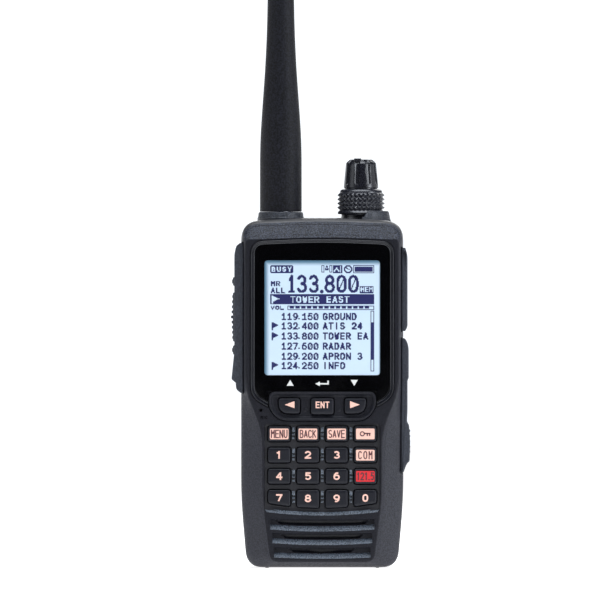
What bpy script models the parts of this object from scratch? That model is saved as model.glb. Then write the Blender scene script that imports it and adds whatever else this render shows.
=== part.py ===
"""Handheld aviation radio, standing upright: +Z up, front face towards -Y, origin under the middle of the case.

Every size below is in millimetres. Outlines are lists of corners (u, v, reach), where reach is how far
from the corner its rounding starts along both edges.
"""

import math

import bmesh
import bpy
from mathutils import Matrix, Vector

MM = 0.001

# Case
HALF_W = 31.0
CASE_H = 132.6
CASE_MIDDLE_H = 134.2
FRONT_Y = -17.5
RIM_Y = -13.0
PART_Y = 1.0
WALL = 2.0
CAVITY_Y = -13.8
GAP = 0.3
SLIM_GAP = 0.15
CORNER_STEPS = 3

# Depth levels behind the parting line
CHASSIS_FRONT_Y = 1.7
CHASSIS_BACK_Y = 4.5
BATTERY_LID_Y = (4.8, 8.0)
BATTERY_CASE_Y = (8.2, 17.5)
BLOCK_BACK_Y = 17.2
BLOCK_LOW_Z = 96.3
BATTERY_TOP_Z = 95.6

# Window
POCKET_Y = -15.2
LENS_Y = (-17.3, -15.5)
BEZEL_Y = (-17.9, -15.5)
LCD_HALF_W = 22.5
LCD_Z = (71.9, 119.3)
LCD_Y = (-15.0, -10.8)

# Keys
KEY_W = 8.6
KEY_H = 5.8
KEY_PITCH_X = 10.95
KEY_PITCH_Z = 8.1
KEY_TOP_ROW_Z = 51.4
KEY_FACE_Y = -18.2
KEY_CLEARANCE = 0.25
FLANGE_REACH = 0.6
FLANGE_Y = (-13.4, -12.6)
PAD_FLOOR_Y = -16.7
MEMBRANE_Y = (-11.6, -10.8)

# Boards
BOARD_Y = (-10.4, -9.0)

# Side controls
SIDE_RECESS_X = 30.0
SIDE_INNER_X = 30.2
SIDE_Y = (-15.2, -0.8)
SIDE_PANEL_Z = (67.0, 124.4)
BUTTON_Y = (-12.4, -3.6)
UPPER_COVER_Z = (90.6, 122.5)
LOWER_COVER_Z = (36.5, 87.9)
COVER_HINGE_X = 31.4

# Top
PANEL_Z = (130.7, 134.2)
PANEL_HALF_W = 26.2
PANEL_Y = (-11.0, 14.6)
TOP_AXIS_Y = 1.0
ANTENNA_X = -15.85
KNOB_X = 14.9
ANTENNA_BASE_Z = 136.4
ANTENNA_LENGTH = 168.0

# Belt clip
CLIP_PIN_Y = 22.6
CLIP_PIN_Z = 121.0
CLIP_HALF_W = 9.0


# ---------------------------------------------------------------- outlines


def rounded(corners, steps=CORNER_STEPS):
    """The closed outline through the corners, each one turned into a curve of that many steps."""
    points = []
    for i, (u, v, reach) in enumerate(corners):
        here = Vector((u, v))
        if reach == 0:
            points.append(here)
            continue
        before = (Vector(corners[i - 1][:2]) - here).normalized() * reach + here
        after = (Vector(corners[(i + 1) % len(corners)][:2]) - here).normalized() * reach + here
        for k in range(steps + 1):
            t = k / steps
            points.append(before * (1 - t) ** 2 + here * 2 * t * (1 - t) + after * t**2)
    return points


def offset(corners, by):
    """The same corners moved outwards by that distance; the outline runs anticlockwise."""
    moved = []
    for i, (u, v, reach) in enumerate(corners):
        here = Vector((u, v))
        along = (here - Vector(corners[i - 1][:2])).normalized()
        onward = (Vector(corners[(i + 1) % len(corners)][:2]) - here).normalized()
        n1, n2 = Vector((along.y, -along.x)), Vector((onward.y, -onward.x))
        shift = (n1 + n2) * (by / (1 + n1.dot(n2)))
        moved.append((u + shift.x, v + shift.y, reach))
    return moved


def both_sides(half):
    """Mirrors corners listed from the bottom to the top of the +X side; a corner on x 0 is not doubled."""
    return half + [(-u, v, reach) for u, v, reach in reversed(half) if u > 0]


def rectangle(u, v, reach=0.0):
    return [(u[0], v[0], reach), (u[1], v[0], reach), (u[1], v[1], reach), (u[0], v[1], reach)]


def racetrack(half_u, v, steps_reach):
    return rectangle((-half_u, half_u), v, steps_reach)


def circle(radius, sides, centre=(0.0, 0.0)):
    turn = 2 * math.pi / sides
    return [Vector((centre[0] + radius * math.cos(i * turn), centre[1] + radius * math.sin(i * turn)))
            for i in range(sides)]


RIM = both_sides([(28.8, 0, 5), (HALF_W, 26, 9), (HALF_W, 47, 5), (HALF_W, 69, 5), (HALF_W, CASE_H, 7.5),
                  (0, CASE_MIDDLE_H, 14)])
PLATEAU = both_sides([(19.8, 2.6, 3), (22.9, 26, 9), (22.9, 52, 6), (29.3, 68, 6), (29.3, 126, 3), (0, 127.1, 14)])
BEZEL = both_sides([(27.3, 61.2, 6.2), (27.3, 124.9, 5), (0, 126.1, 14)])
LENS = offset(BEZEL, -1.6)
NAV = both_sides([(16.6, 56.6, 2.8), (20.5, 61.5, 2.2), (20.5, 67.5, 1.6)])


# ---------------------------------------------------------------- shapes


def place(name, mesh, collection=None):
    obj = bpy.data.objects.new(name, mesh)
    (collection or PARTS).objects.link(obj)
    return obj


def from_bmesh(name, bm):
    bmesh.ops.recalc_face_normals(bm, faces=bm.faces)
    mesh = bpy.data.meshes.new(name)
    bm.to_mesh(mesh)
    bm.free()
    return place(name, mesh)


def spot(axis, u, v, level):
    """A point of an outline drawn across that axis, at a level along it, in metres."""
    across = {"X": (level, u, v), "Y": (u, level, v), "Z": (u, v, level)}[axis]
    return Vector(across) * MM


def loft(name, sections, axis="Y"):
    """A closed solid through outlines with equal point counts, given as (points, level)."""
    bm = bmesh.new()
    rings = [[bm.verts.new(spot(axis, p.x, p.y, level)) for p in points] for points, level in sections]
    for near, far in zip(rings, rings[1:]):
        for i in range(len(near)):
            bm.faces.new((near[i - 1], near[i], far[i], far[i - 1]))
    bm.faces.new(rings[0])
    bm.faces.new(rings[-1])
    return from_bmesh(name, bm)


def plate(name, points, low, high, axis="Y"):
    """A flat outline given thickness: a filled 2D curve with an extrusion, made a mesh."""
    curve = bpy.data.curves.new(name, "CURVE")
    curve.dimensions = "2D"
    curve.fill_mode = "BOTH"
    curve.extrude = abs(high - low) / 2 * MM
    spline = curve.splines.new("POLY")
    spline.points.add(len(points) - 1)
    for point, corner in zip(spline.points, points):
        point.co = (corner[0] * MM, corner[1] * MM, 0, 1)
    spline.use_cyclic_u = True
    drawn = place(name + "_outline", curve)
    mesh = bpy.data.meshes.new_from_object(drawn.evaluated_get(bpy.context.evaluated_depsgraph_get()))
    bpy.data.objects.remove(drawn)
    turned = {"X": Matrix(((0, 0, 1, 0), (1, 0, 0, 0), (0, 1, 0, 0), (0, 0, 0, 1))),
              "Y": Matrix(((1, 0, 0, 0), (0, 0, 1, 0), (0, 1, 0, 0), (0, 0, 0, 1))),
              "Z": Matrix.Identity(4)}[axis]
    mesh.transform(Matrix.Translation(spot(axis, 0, 0, (low + high) / 2)) @ turned)
    bm = bmesh.new()
    bm.from_mesh(mesh)
    bpy.data.meshes.remove(mesh)
    bmesh.ops.remove_doubles(bm, verts=bm.verts, dist=0.001 * MM)
    return from_bmesh(name, bm)


def box(name, low, high):
    bm = bmesh.new()
    bmesh.ops.create_cube(bm, size=MM)
    low, high = Vector(low), Vector(high)
    bmesh.ops.scale(bm, vec=high - low, verts=bm.verts)
    bmesh.ops.translate(bm, vec=(low + high) / 2 * MM, verts=bm.verts)
    return from_bmesh(name, bm)


def rod(name, centre, radius, low, high, axis="Z", sides=16, end_radius=None):
    """A cylinder or cone along an axis; centre is (u, v) across it and end_radius the radius at high."""
    bm = bmesh.new()
    bmesh.ops.create_cone(bm, cap_ends=True, segments=sides, radius1=radius * MM,
                          radius2=(radius if end_radius is None else end_radius) * MM, depth=(high - low) * MM)
    aim = {"X": Vector((1, 0, 0)), "Y": Vector((0, 1, 0)), "Z": Vector((0, 0, 1))}[axis]
    bmesh.ops.rotate(bm, matrix=Vector((0, 0, 1)).rotation_difference(aim).to_matrix(), verts=bm.verts)
    bmesh.ops.translate(bm, vec=spot(axis, centre[0], centre[1], (low + high) / 2), verts=bm.verts)
    return from_bmesh(name, bm)


def turned_about_z(name, centre, profile, sides, closed=False):
    """A turned piece: its (radius, z) profile runs down the outer side and is swept by a Screw modifier."""
    bm = bmesh.new()
    points = [bm.verts.new((radius * MM, 0, z * MM)) for radius, z in profile]
    for first, second in zip(points, points[1:]):
        bm.edges.new((first, second))
    if closed:
        bm.edges.new((points[-1], points[0]))
    mesh = bpy.data.meshes.new(name)
    bm.to_mesh(mesh)
    bm.free()
    obj = place(name, mesh)
    obj.location = (centre[0] * MM, centre[1] * MM, 0)
    screw = obj.modifiers.new("turning", "SCREW")
    screw.steps = screw.render_steps = sides
    screw.use_merge_vertices = True
    screw.merge_threshold = 1e-6
    return obj


def wire(name, points, radius, sides_level=2):
    """A wire through the points, as a poly spline with a round bevel and filled ends."""
    curve = bpy.data.curves.new(name, "CURVE")
    curve.dimensions = "3D"
    curve.bevel_depth = radius * MM
    curve.bevel_resolution = sides_level
    curve.use_fill_caps = True
    spline = curve.splines.new("POLY")
    spline.points.add(len(points) - 1)
    for point, where in zip(spline.points, points):
        point.co = (*(Vector(where) * MM), 1)
    return place(name, curve)


def helix(centre, radius, start, end, turns, steps, axis="Z"):
    """Points along a coil about an axis through centre, from start to end along it."""
    count = round(turns * steps)
    points = []
    for i in range(count + 1):
        angle = 2 * math.pi * i / steps
        u = centre[0] + radius * math.cos(angle)
        v = centre[1] + radius * math.sin(angle)
        points.append(spot(axis, u, v, start + (end - start) * i / count) / MM)
    return points


def boolean(obj, other, operation):
    modifier = obj.modifiers.new(f"{operation.lower()} {other.name}", "BOOLEAN")
    modifier.operation = operation
    modifier.object = other
    other.hide_render = True
    other.display_type = "WIRE"
    for collection in list(other.users_collection):
        collection.objects.unlink(other)
    CUTTERS.objects.link(other)


def cut(obj, *cutters):
    for cutter in cutters:
        boolean(obj, cutter, "DIFFERENCE")


def join(obj, *others):
    for other in others:
        boolean(obj, other, "UNION")


def pivot(obj, *point):
    """Puts the object's origin on its joint's axis."""
    where = Vector(point) * MM - obj.location
    obj.data.transform(Matrix.Translation(-where))
    obj.location += where
    return obj


def round_edges(obj, width, segments=2, angle=35):
    bevel = obj.modifiers.new("rounded edges", "BEVEL")
    bevel.width = width * MM
    bevel.segments = segments
    bevel.angle_limit = math.radians(angle)
    return obj


def material(name, colour, roughness=0.6, metallic=0.0):
    made = bpy.data.materials.get(name)
    if made is None:
        made = bpy.data.materials.new(name)
        made.use_nodes = True
        shader = made.node_tree.nodes["Principled BSDF"]
        shader.inputs["Base Color"].default_value = (*colour, 1)
        shader.inputs["Roughness"].default_value = roughness
        shader.inputs["Metallic"].default_value = metallic
    return made


FINISHES = {
    "case_plastic": ((0.075, 0.075, 0.085), 0.5),
    "dark_plastic": ((0.03, 0.03, 0.036), 0.45),
    "gloss_black": ((0.006, 0.006, 0.008), 0.08),
    "key_rubber": ((0.04, 0.041, 0.048), 0.55),
    "soft_rubber": ((0.05, 0.052, 0.06), 0.7),
    "antenna_rubber": ((0.012, 0.012, 0.015), 0.6),
    "screen": ((0.75, 0.85, 0.95), 0.3),
    "board_green": ((0.03, 0.16, 0.07), 0.5),
    "steel": ((0.62, 0.62, 0.64), 0.3, 1.0),
    "brass": ((0.75, 0.6, 0.3), 0.3, 1.0),
    "cell_wrap": ((0.08, 0.16, 0.35), 0.4),
    "paper_cone": ((0.05, 0.05, 0.05), 0.8),
    "ceramic": ((0.7, 0.66, 0.58), 0.5),
}


def finish(name, *objects):
    for obj in objects:
        obj.data.materials.clear()
        obj.data.materials.append(material(name, *FINISHES[name]))


# ---------------------------------------------------------------- case


def shell_sections(grow, front, rim, back):
    """Sections of the case form: the flat front plateau, the rim it slopes out to, and the straight sides."""
    plateau = rounded(offset(PLATEAU, grow))
    outer = rounded(offset(RIM, grow))
    return [(plateau, front), (outer, rim), (outer, back)]


def pad_bottom_z(x):
    """The lower edge of the bottom key row, a shallow arc across the case."""
    return 23.0 + 2.0 * (x / 21.0) ** 2


def smile(half_w, z, height, sag):
    """A shallow slot outline whose ends rise above its middle."""
    steps = 6
    lower = [Vector((half_w * (2 * i / steps - 1), z + sag * (2 * i / steps - 1) ** 2)) for i in range(steps + 1)]
    return lower + [p + Vector((0, height)) for p in reversed(lower)]


def key_corners(column, row):
    """Corners of one key cap of the 4 by 4 pad; the bottom row follows the arc under the pad."""
    x = (column - 1.5) * KEY_PITCH_X
    z = KEY_TOP_ROW_Z - row * KEY_PITCH_Z
    left, right = x - KEY_W / 2, x + KEY_W / 2
    low = [z - KEY_H / 2] * 2 if row < 3 else [pad_bottom_z(left), pad_bottom_z(right)]
    return [(left, low[0], 1), (right, low[1], 1), (right, z + KEY_H / 2, 1), (left, z + KEY_H / 2, 1)]


def nav_key_corners(index):
    """Corners of one of the three keys under the window; the outer lower corners are cut back."""
    low, high = 59.1, 65.0
    if index == 1:
        return rectangle((-4.4, 4.4), (low - 0.3, high), 1)
    side = [(8.5, low, 1), (16.8, low, 4), (16.8, high, 1), (8.5, high, 1)]
    if index == 2:
        return side
    return [(-u, v, reach) for u, v, reach in reversed(side)]


def make_front_case():
    case = loft("front_case", shell_sections(0, FRONT_Y, RIM_Y, PART_Y))
    cut(case, loft("case_cavity", shell_sections(-WALL, CAVITY_Y, RIM_Y + WALL, PART_Y + 5)))
    outside = FRONT_Y - 3
    cut(case,
        plate("window_pocket", rounded(offset(BEZEL, SLIM_GAP)), outside, POCKET_Y),
        plate("nav_pocket", rounded(offset(NAV, SLIM_GAP)), outside, POCKET_Y),
        box("window_opening", (-22.8, outside, 71.6), (22.8, CAVITY_Y + 2, 119.6)))
    for index in range(3):
        hole = rounded(offset(nav_key_corners(index), KEY_CLEARANCE), 1)
        cut(case, plate(f"nav_opening_{index}", hole, outside, CAVITY_Y + 2))
    pad = rounded([(-22.0, 22.4, 1), (0, 21.6, 8), (22.0, 22.4, 1), (22.0, 55.2, 1.5), (-22.0, 55.2, 1.5)], 2)
    cut(case, plate("keypad_recess", pad, outside, PAD_FLOOR_Y))
    for row in range(4):
        for column in range(4):
            hole = rounded(offset(key_corners(column, row), KEY_CLEARANCE), 1)
            cut(case, plate(f"key_hole_{row}_{column}", hole, outside, CAVITY_Y + 2))
    for i, (half_w, z, height, sag) in enumerate(((19.8, 15.0, 3.6, 0.6), (19.0, 9.8, 3.3, 0.6), (18.2, 4.6, 3.1, 0.4))):
        cut(case, plate(f"grille_groove_{i}", smile(half_w, z, height, sag), outside, PAD_FLOOR_Y + 0.3))
    for i, (half_w, z, height, sag) in enumerate(((15.6, 17.2, 1.0, 0.2), (13.8, 11.8, 1.1, 0.3), (5.9, 6.2, 1.0, 0.4))):
        cut(case, plate(f"grille_slot_{i}", smile(half_w, z, height, sag), outside, CAVITY_Y + 2))
    cut(case,
        rod("microphone_hole", (-23.4, 60.4), 0.5, outside, CAVITY_Y + 2, "Y", 8),
        box("left_recess", (-HALF_W - 3, -16.2, SIDE_PANEL_Z[0] - GAP), (-SIDE_RECESS_X, -0.5, SIDE_PANEL_Z[1] + GAP)),
        box("upper_right_recess", (SIDE_RECESS_X, -15.5, UPPER_COVER_Z[0] - GAP),
            (HALF_W + 3, -0.5, UPPER_COVER_Z[1] + GAP)),
        box("lower_right_recess", (SIDE_RECESS_X, -15.5, LOWER_COVER_Z[0] - GAP),
            (HALF_W + 3, -0.5, LOWER_COVER_Z[1] + GAP)),
        box("headset_opening", (HALF_W - 4, -11.2, 98.8), (HALF_W + 3, -4.8, 115.2)),
        box("charging_opening", (HALF_W - 4, -11.2, 42.8), (HALF_W + 3, -4.8, 73.2)),
        box("front_top_notch", (-PANEL_HALF_W - GAP, PANEL_Y[0] - GAP, PANEL_Z[0] - GAP), (PANEL_HALF_W + GAP, 6, 150)))
    finish("case_plastic", case)


def make_gasket():
    outer = rounded(offset(RIM, -0.7))
    gasket = plate("case_gasket", outer, PART_Y + SLIM_GAP, CHASSIS_FRONT_Y - SLIM_GAP)
    cut(gasket, plate("gasket_hole", rounded(offset(RIM, -1.8)), PART_Y - 1, CHASSIS_FRONT_Y + 1),
        box("gasket_notch", (-PANEL_HALF_W - GAP, -5, PANEL_Z[0] - GAP), (PANEL_HALF_W + GAP, 6, 150)))
    finish("soft_rubber", gasket)


def rail(name, x, grow, low, high):
    """A dovetail rail on the chassis, or with grow its groove in the battery lid."""
    root, tip = 1.5 + grow, 2.6 + grow
    points = [Vector((x - root, CHASSIS_BACK_Y - 1)), Vector((x + root, CHASSIS_BACK_Y - 1)),
              Vector((x + root, CHASSIS_BACK_Y)), Vector((x + tip, CHASSIS_BACK_Y + 1.8 + grow)),
              Vector((x - tip, CHASSIS_BACK_Y + 1.8 + grow)), Vector((x - root, CHASSIS_BACK_Y))]
    return plate(name, points, low, high, "Z")


def make_rear_chassis():
    chassis = plate("rear_chassis", rounded(RIM), CHASSIS_FRONT_Y, CHASSIS_BACK_Y)
    block = both_sides([(HALF_W, BLOCK_LOW_Z, 1), (HALF_W, CASE_H, 7.5), (0, CASE_MIDDLE_H, 14)])
    inner = both_sides([(HALF_W - 2.4, BLOCK_LOW_Z, 1), (HALF_W - 2.4, CASE_H - 2.4, 7.5), (0, CASE_MIDDLE_H - 2.4, 14)])
    join(chassis, loft("upper_block", [(rounded(block), CHASSIS_BACK_Y - 1), (rounded(block), BLOCK_BACK_Y - 3),
                                       (rounded(inner), BLOCK_BACK_Y)]))
    cut(chassis, box("block_cavity", (-27.5, 0, BLOCK_LOW_Z + 2.2), (27.5, BLOCK_BACK_Y - 2.4, PANEL_Z[0] - GAP)))
    join(chassis, rail("left_rail", -19, 0, 22, 78), rail("right_rail", 19, 0, 22, 78))
    cut(chassis,
        box("rear_top_notch", (-PANEL_HALF_W - GAP, -5, PANEL_Z[0] - GAP), (PANEL_HALF_W + GAP, PANEL_Y[1] + GAP, 150)),
        box("latch_slot", (-3.4, 15.0, BLOCK_LOW_Z - 1), (3.4, 16.5, BLOCK_LOW_Z + 1.9)))
    for side, x in (("left", -6.5), ("right", 6.5)):
        cut(chassis, rod(f"{side}_bracket_hole", (x, 110.0), 1.5, 13, 20, "Y", 12))
    finish("dark_plastic", chassis)


def make_top_panel():
    outline = both_sides([(PANEL_HALF_W, PANEL_Z[0], 0), (PANEL_HALF_W, CASE_H + 0.2, 0.8), (0, PANEL_Z[1], 14)])
    top = round_edges(plate("top_panel", rounded(outline), *PANEL_Y), 0.8, 1, 60)
    join(top, rod("antenna_boss", (ANTENNA_X, TOP_AXIS_Y), 9.0, CASE_H - 1, 136.2, "Z", 24, 8.4),
         rod("knob_seat", (KNOB_X, TOP_AXIS_Y), 7.2, CASE_H - 1, 135.0, "Z", 24))
    steps = 8
    first, last = math.radians(-82), math.radians(8)
    arc = [first + (last - first) * i / steps for i in range(steps + 1)]
    inner, outer = 9.5, 11.1
    guard = [Vector((KNOB_X + outer * math.cos(a), TOP_AXIS_Y + outer * math.sin(a))) for a in arc]
    guard += [Vector((KNOB_X + inner * math.cos(a), TOP_AXIS_Y + inner * math.sin(a))) for a in reversed(arc)]
    join(top, plate("knob_guard", guard, CASE_H - 1, 136.7, "Z"))
    cut(top, rod("antenna_hole", (ANTENNA_X, TOP_AXIS_Y), 5.2, 125, 140, "Z", 20),
        rod("bush_hole", (KNOB_X, TOP_AXIS_Y), 3.8, 125, 140, "Z", 16))
    finish("case_plastic", top)


# ---------------------------------------------------------------- window, keys


def make_window():
    bezel = plate("window_bezel", rounded(BEZEL), *BEZEL_Y)
    cut(bezel, plate("bezel_hole", rounded(offset(LENS, SLIM_GAP)), BEZEL_Y[0] - 1, BEZEL_Y[1] + 1),
        box("bezel_gap", (-20.9, BEZEL_Y[0] - 1, 58), (20.9, BEZEL_Y[1] + 1, 70)))
    lens = plate("display_lens", rounded(LENS), *LENS_Y)
    cut(lens, box("lens_notch", (-20.8, LENS_Y[0] - 1, 58), (20.8, LENS_Y[1] + 1, 67.9)))
    lcd = box("lcd_module", (-LCD_HALF_W, LCD_Y[0], LCD_Z[0]), (LCD_HALF_W, LCD_Y[1], LCD_Z[1]))
    finish("gloss_black", bezel, lens)
    finish("screen", lcd)


def press_key(name, corners, face):
    """A key cap with a flange behind the case wall that keeps it in."""
    outline = rounded(corners, 1)
    made = loft(name, [(rounded(offset(corners, -0.5), 1), face), (outline, face + 0.5), (outline, FLANGE_Y[0]),
                       (rounded(offset(corners, FLANGE_REACH), 1), FLANGE_Y[0]),
                       (rounded(offset(corners, FLANGE_REACH), 1), FLANGE_Y[1])])
    middle = sum((Vector(c[:2]) for c in corners), Vector((0, 0))) / len(corners)
    pivot(made, middle.x, face, middle.y)
    finish("key_rubber", made)


KEY_NAMES = [["menu", "back", "save", "lock"], ["1", "2", "3", "com"], ["4", "5", "6", "distress"],
             ["7", "8", "9", "0"]]


def make_keys():
    surround = plate("nav_surround", rounded(NAV), FRONT_Y - 0.8, POCKET_Y - GAP)
    cut(surround, plate("nav_bowl", rounded(offset(NAV, -1.1)), FRONT_Y - 2, FRONT_Y + 1.1))
    for index, name in enumerate(("nav_key_left", "nav_key_enter", "nav_key_right")):
        corners = nav_key_corners(index)
        hole = rounded(offset(corners, KEY_CLEARANCE), 1)
        cut(surround, plate(f"{name}_hole", hole, FRONT_Y - 2, POCKET_Y + 1))
        press_key(name, corners, KEY_FACE_Y - 0.2)
    finish("dark_plastic", surround)
    for row, names in enumerate(KEY_NAMES):
        for column, name in enumerate(names):
            press_key(f"key_{name}", key_corners(column, row), KEY_FACE_Y)
    membrane = both_sides([(22.2, 22.3, 1), (22.2, 56.0, 0), (18.6, 56.0, 0), (18.6, 68.4, 1)])
    finish("soft_rubber", plate("keypad_membrane", rounded(membrane, 1), *MEMBRANE_Y))


# ---------------------------------------------------------------- inside


def make_sound():
    frame = plate("speaker_frame", rounded(racetrack(17.0, (3.7, 21.3), 8), 4), -12.2, -5.0)
    cut(frame, plate("speaker_bowl", rounded(racetrack(15.8, (4.9, 20.1), 7), 4), -13, -7.0))
    rim = rounded(racetrack(15.4, (5.3, 19.7), 6.6), 4)
    cone = loft("speaker_cone", [(rounded(racetrack(6.6, (9.5, 15.5), 2.6), 4), -7.4), (rim, -11.5), (rim, -11.9),
                                 (rounded(racetrack(14.6, (6.1, 18.9), 6.0), 4), -11.9),
                                 (rounded(racetrack(6.0, (10.1, 14.9), 2.2), 4), -8.2)])
    capsule = rod("microphone", (-23.4, 60.4), 2.2, -12.6, -10.9, "Y", 12)
    finish("steel", frame, capsule)
    finish("paper_cone", cone)


def make_boards():
    outline = both_sides([(26.5, 24.0, 1), (26.5, 41.5, 0), (23.6, 41.5, 0), (23.6, 119.5, 1)])
    board = plate("main_board", rounded(outline, 1), *BOARD_Y)
    shield = round_edges(box("rf_shield", (-19, BOARD_Y[1] + GAP, 58), (19, -3.8, 112)), 0.8, 1)
    patch = round_edges(box("gps_patch_antenna", (-6, -5, 125.6), (6, 7, 129.8)), 0.5, 1)
    finish("board_green", board)
    finish("steel", shield)
    finish("ceramic", patch)


# ---------------------------------------------------------------- sides


def make_left_side():
    profile = [(-SIDE_INNER_X, 67.0, 0), (-SIDE_INNER_X, 124.4, 0), (-31.3, 124.4, 0.6), (-32.9, 123.3, 0.6),
               (-33.7, 120.0, 1), (-33.7, 82.0, 1), (-34.7, 72.2, 0.6), (-33.1, 70.9, 0.4), (-32.9, 68.4, 0.6),
               (-31.3, 67.0, 0.6)]
    panel = plate("side_key_panel", rounded(profile, 1), *SIDE_Y)
    round_edges(panel, 1.0, 2, 60)
    buttons = (("ptt_button", 86.6, 105.4), ("lamp_button", 107.9, 111.3), ("monitor_button", 81.6, 85.2))
    for name, low, high in buttons:
        opening = rectangle((BUTTON_Y[0] - GAP, BUTTON_Y[1] + GAP), (low - GAP, high + GAP), 1.2)
        behind = rectangle((BUTTON_Y[0] - 1.2, BUTTON_Y[1] + 1.2), (low - GAP, high + GAP), 1.2)
        cut(panel, plate(f"{name}_hole", rounded(opening, 2), -36, -28, "X"),
            plate(f"{name}_flange_way", rounded(behind, 2), -31.9, -28, "X"))
        outline = rectangle(BUTTON_Y, (low, high), 1.0)
        flange = rounded(rectangle((BUTTON_Y[0] - 0.8, BUTTON_Y[1] + 0.8), (low - 0.1, high + 0.1), 1.0), 2)
        made = loft(name, [(flange, -31.1), (flange, -31.6), (rounded(outline, 2), -31.6), (rounded(outline, 2), -33.7),
                           (rounded(offset(outline, -0.5), 2), -34.1)], "X")
        if name == "ptt_button":
            for i in range(-3, 4):
                z = (low + high) / 2 + i * 2.4
                proud = -34.9 if i == 0 else -34.55
                rib = rectangle((-11.2, -4.8), (z - 0.5, z + 0.5))
                join(made, plate(f"ptt_rib_{i + 3}", rounded(rib), proud, -33.8, "X"))
        pivot(made, -34.1, -8.0, (low + high) / 2)
        finish("soft_rubber", made)
    finish("soft_rubber", panel)


def make_right_side():
    low, high = UPPER_COVER_Z
    upper = [(SIDE_INNER_X, low, 0), (31.4, low, 0), (32.5, low + 1.1, 0.6), (32.7, low + 4, 0.8), (32.7, high - 3, 1),
             (32.3, high - 0.8, 0.4), (31.2, high, 0.5), (SIDE_INNER_X, high, 0)]
    low, high = LOWER_COVER_Z
    lower = [(SIDE_INNER_X, low, 0), (31.0, low, 0.4), (32.2, low + 3.6, 0.6), (33.6, low + 5, 0.8), (33.7, low + 15, 1),
             (32.7, low + 19.2, 1), (32.7, high - 15.8, 0.4), (33.1, high - 14.8, 0.4), (33.1, high - 2.6, 0.8),
             (32.3, high - 0.6, 0.5), (31.4, high, 0), (SIDE_INNER_X, high, 0)]
    for name, profile, hinge_z in (("upper_jack_cover", upper, UPPER_COVER_Z[0] + 0.3),
                                   ("lower_jack_cover", lower, LOWER_COVER_Z[1] - 0.3)):
        cover = plate(name, rounded(profile, 1), -14.6, -1.4)
        round_edges(cover, 0.9, 2, 60)
        pivot(cover, COVER_HINGE_X, -8.0, hinge_z)
        finish("soft_rubber", cover)
    headset = box("headset_jack", (23.9, -10.8, 99.0), (29.8, -5.0, 115.0))
    cut(headset, rod("headset_bore", (-8, 110.5), 1.8, 24.9, 32, "X", 12),
        rod("microphone_bore", (-8, 103.0), 1.3, 24.9, 32, "X", 12))
    charging = box("charging_jack", (23.9, -10.8, 43.0), (29.8, -5.0, 73.0))
    cut(charging, rod("charging_bore", (-8, 48.5), 2.7, 24.9, 32, "X", 16),
        box("data_slot", (24.9, -9.2, 62.5), (32, -6.8, 69.5)))
    finish("dark_plastic", headset, charging)


# ---------------------------------------------------------------- top


def make_antenna():
    axis = (ANTENNA_X, TOP_AXIS_Y)
    base, tip = ANTENNA_BASE_Z, ANTENNA_BASE_Z + ANTENNA_LENGTH
    flange, neck = 6.6, 4.8
    jack = turned_about_z("antenna_jack", axis, [(0, 146.0), (neck, 146.0), (neck, PANEL_Z[0] - GAP),
                                                 (flange, PANEL_Z[0] - GAP), (flange, 126.4), (0, 126.4)], 20)
    outer = [(0, tip), (2.4, tip - 0.4), (4.2, tip - 2.2), (4.7, tip - 6), (4.95, base + 82), (5.45, base + 63),
             (6.3, base + 51), (7.2, base + 38), (7.75, base + 29), (7.95, base + 20), (7.95, base)]
    bore = [(6.7, base), (6.7, base + 15), (3.6, base + 15), (3.6, tip - 8), (0, tip - 8)]
    sheath = turned_about_z("antenna_sheath", axis, outer + bore, 24)
    shell = [(0, base + 14), (6.4, base + 14), (6.4, base + 0.3), (5.1, base + 0.3), (5.1, base + 11), (0, base + 11)]
    coupling = turned_about_z("antenna_coupling", axis, shell, 20)
    element = wire("antenna_element", helix(axis, 2.6, base + 18, tip - 14, 11, 9), 0.5, 1)
    pivot(element, *axis, base)
    finish("antenna_rubber", sheath)
    finish("steel", jack, coupling)
    finish("brass", element)


def make_knobs():
    axis = (KNOB_X, TOP_AXIS_Y)
    encoder = round_edges(box("encoder_body", (axis[0] - 6.5, axis[1] - 6.2, 121.3), (axis[0] + 6.5, axis[1] + 6.8, 128.0)),
                          0.5, 1)
    join(encoder, rod("encoder_bush", axis, 3.5, 127, 135.2, "Z", 16))
    cut(encoder, rod("shaft_bore", axis, 3.06, 124, 140, "Z", 16))
    shaft = turned_about_z("dial_shaft", axis, [(0, 152.2), (2.95, 152.2), (2.95, 124.4), (0, 124.4)], 16)
    ring = [(8.6, 137.1), (9.0, 136.8), (9.0, 135.3), (3.8, 135.3), (3.8, 145.1), (6.9, 145.1), (8.2, 143.8)]
    rows = 4
    for i in range(rows):
        z = 142.7 - i * 1.6
        ring += [(8.2, z + 0.6), (9.1, z), (8.2, z - 0.6)]
    squelch = turned_about_z("squelch_ring", axis, ring, 24, closed=True)
    outer = [(0, 156.8), (4.4, 156.8), (5.75, 154.9), (6.7, 145.4), (3.06, 145.4), (3.06, 152.5), (0, 152.5)]
    knob = turned_about_z("dial_knob", axis, outer, 40)
    flutes = 10
    for i in range(flutes):
        angle = math.radians(4) + 2 * math.pi * i / flutes
        groove = rod(f"knob_flute_{i}", (axis[0] + 7.3 * math.cos(angle), axis[1] + 7.3 * math.sin(angle)), 1.3,
                     147.6, 158, "Z", 8, 2.1)
        cut(knob, groove)
    finish("dark_plastic", knob, squelch, encoder)
    finish("steel", shaft)


# ---------------------------------------------------------------- back


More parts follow.
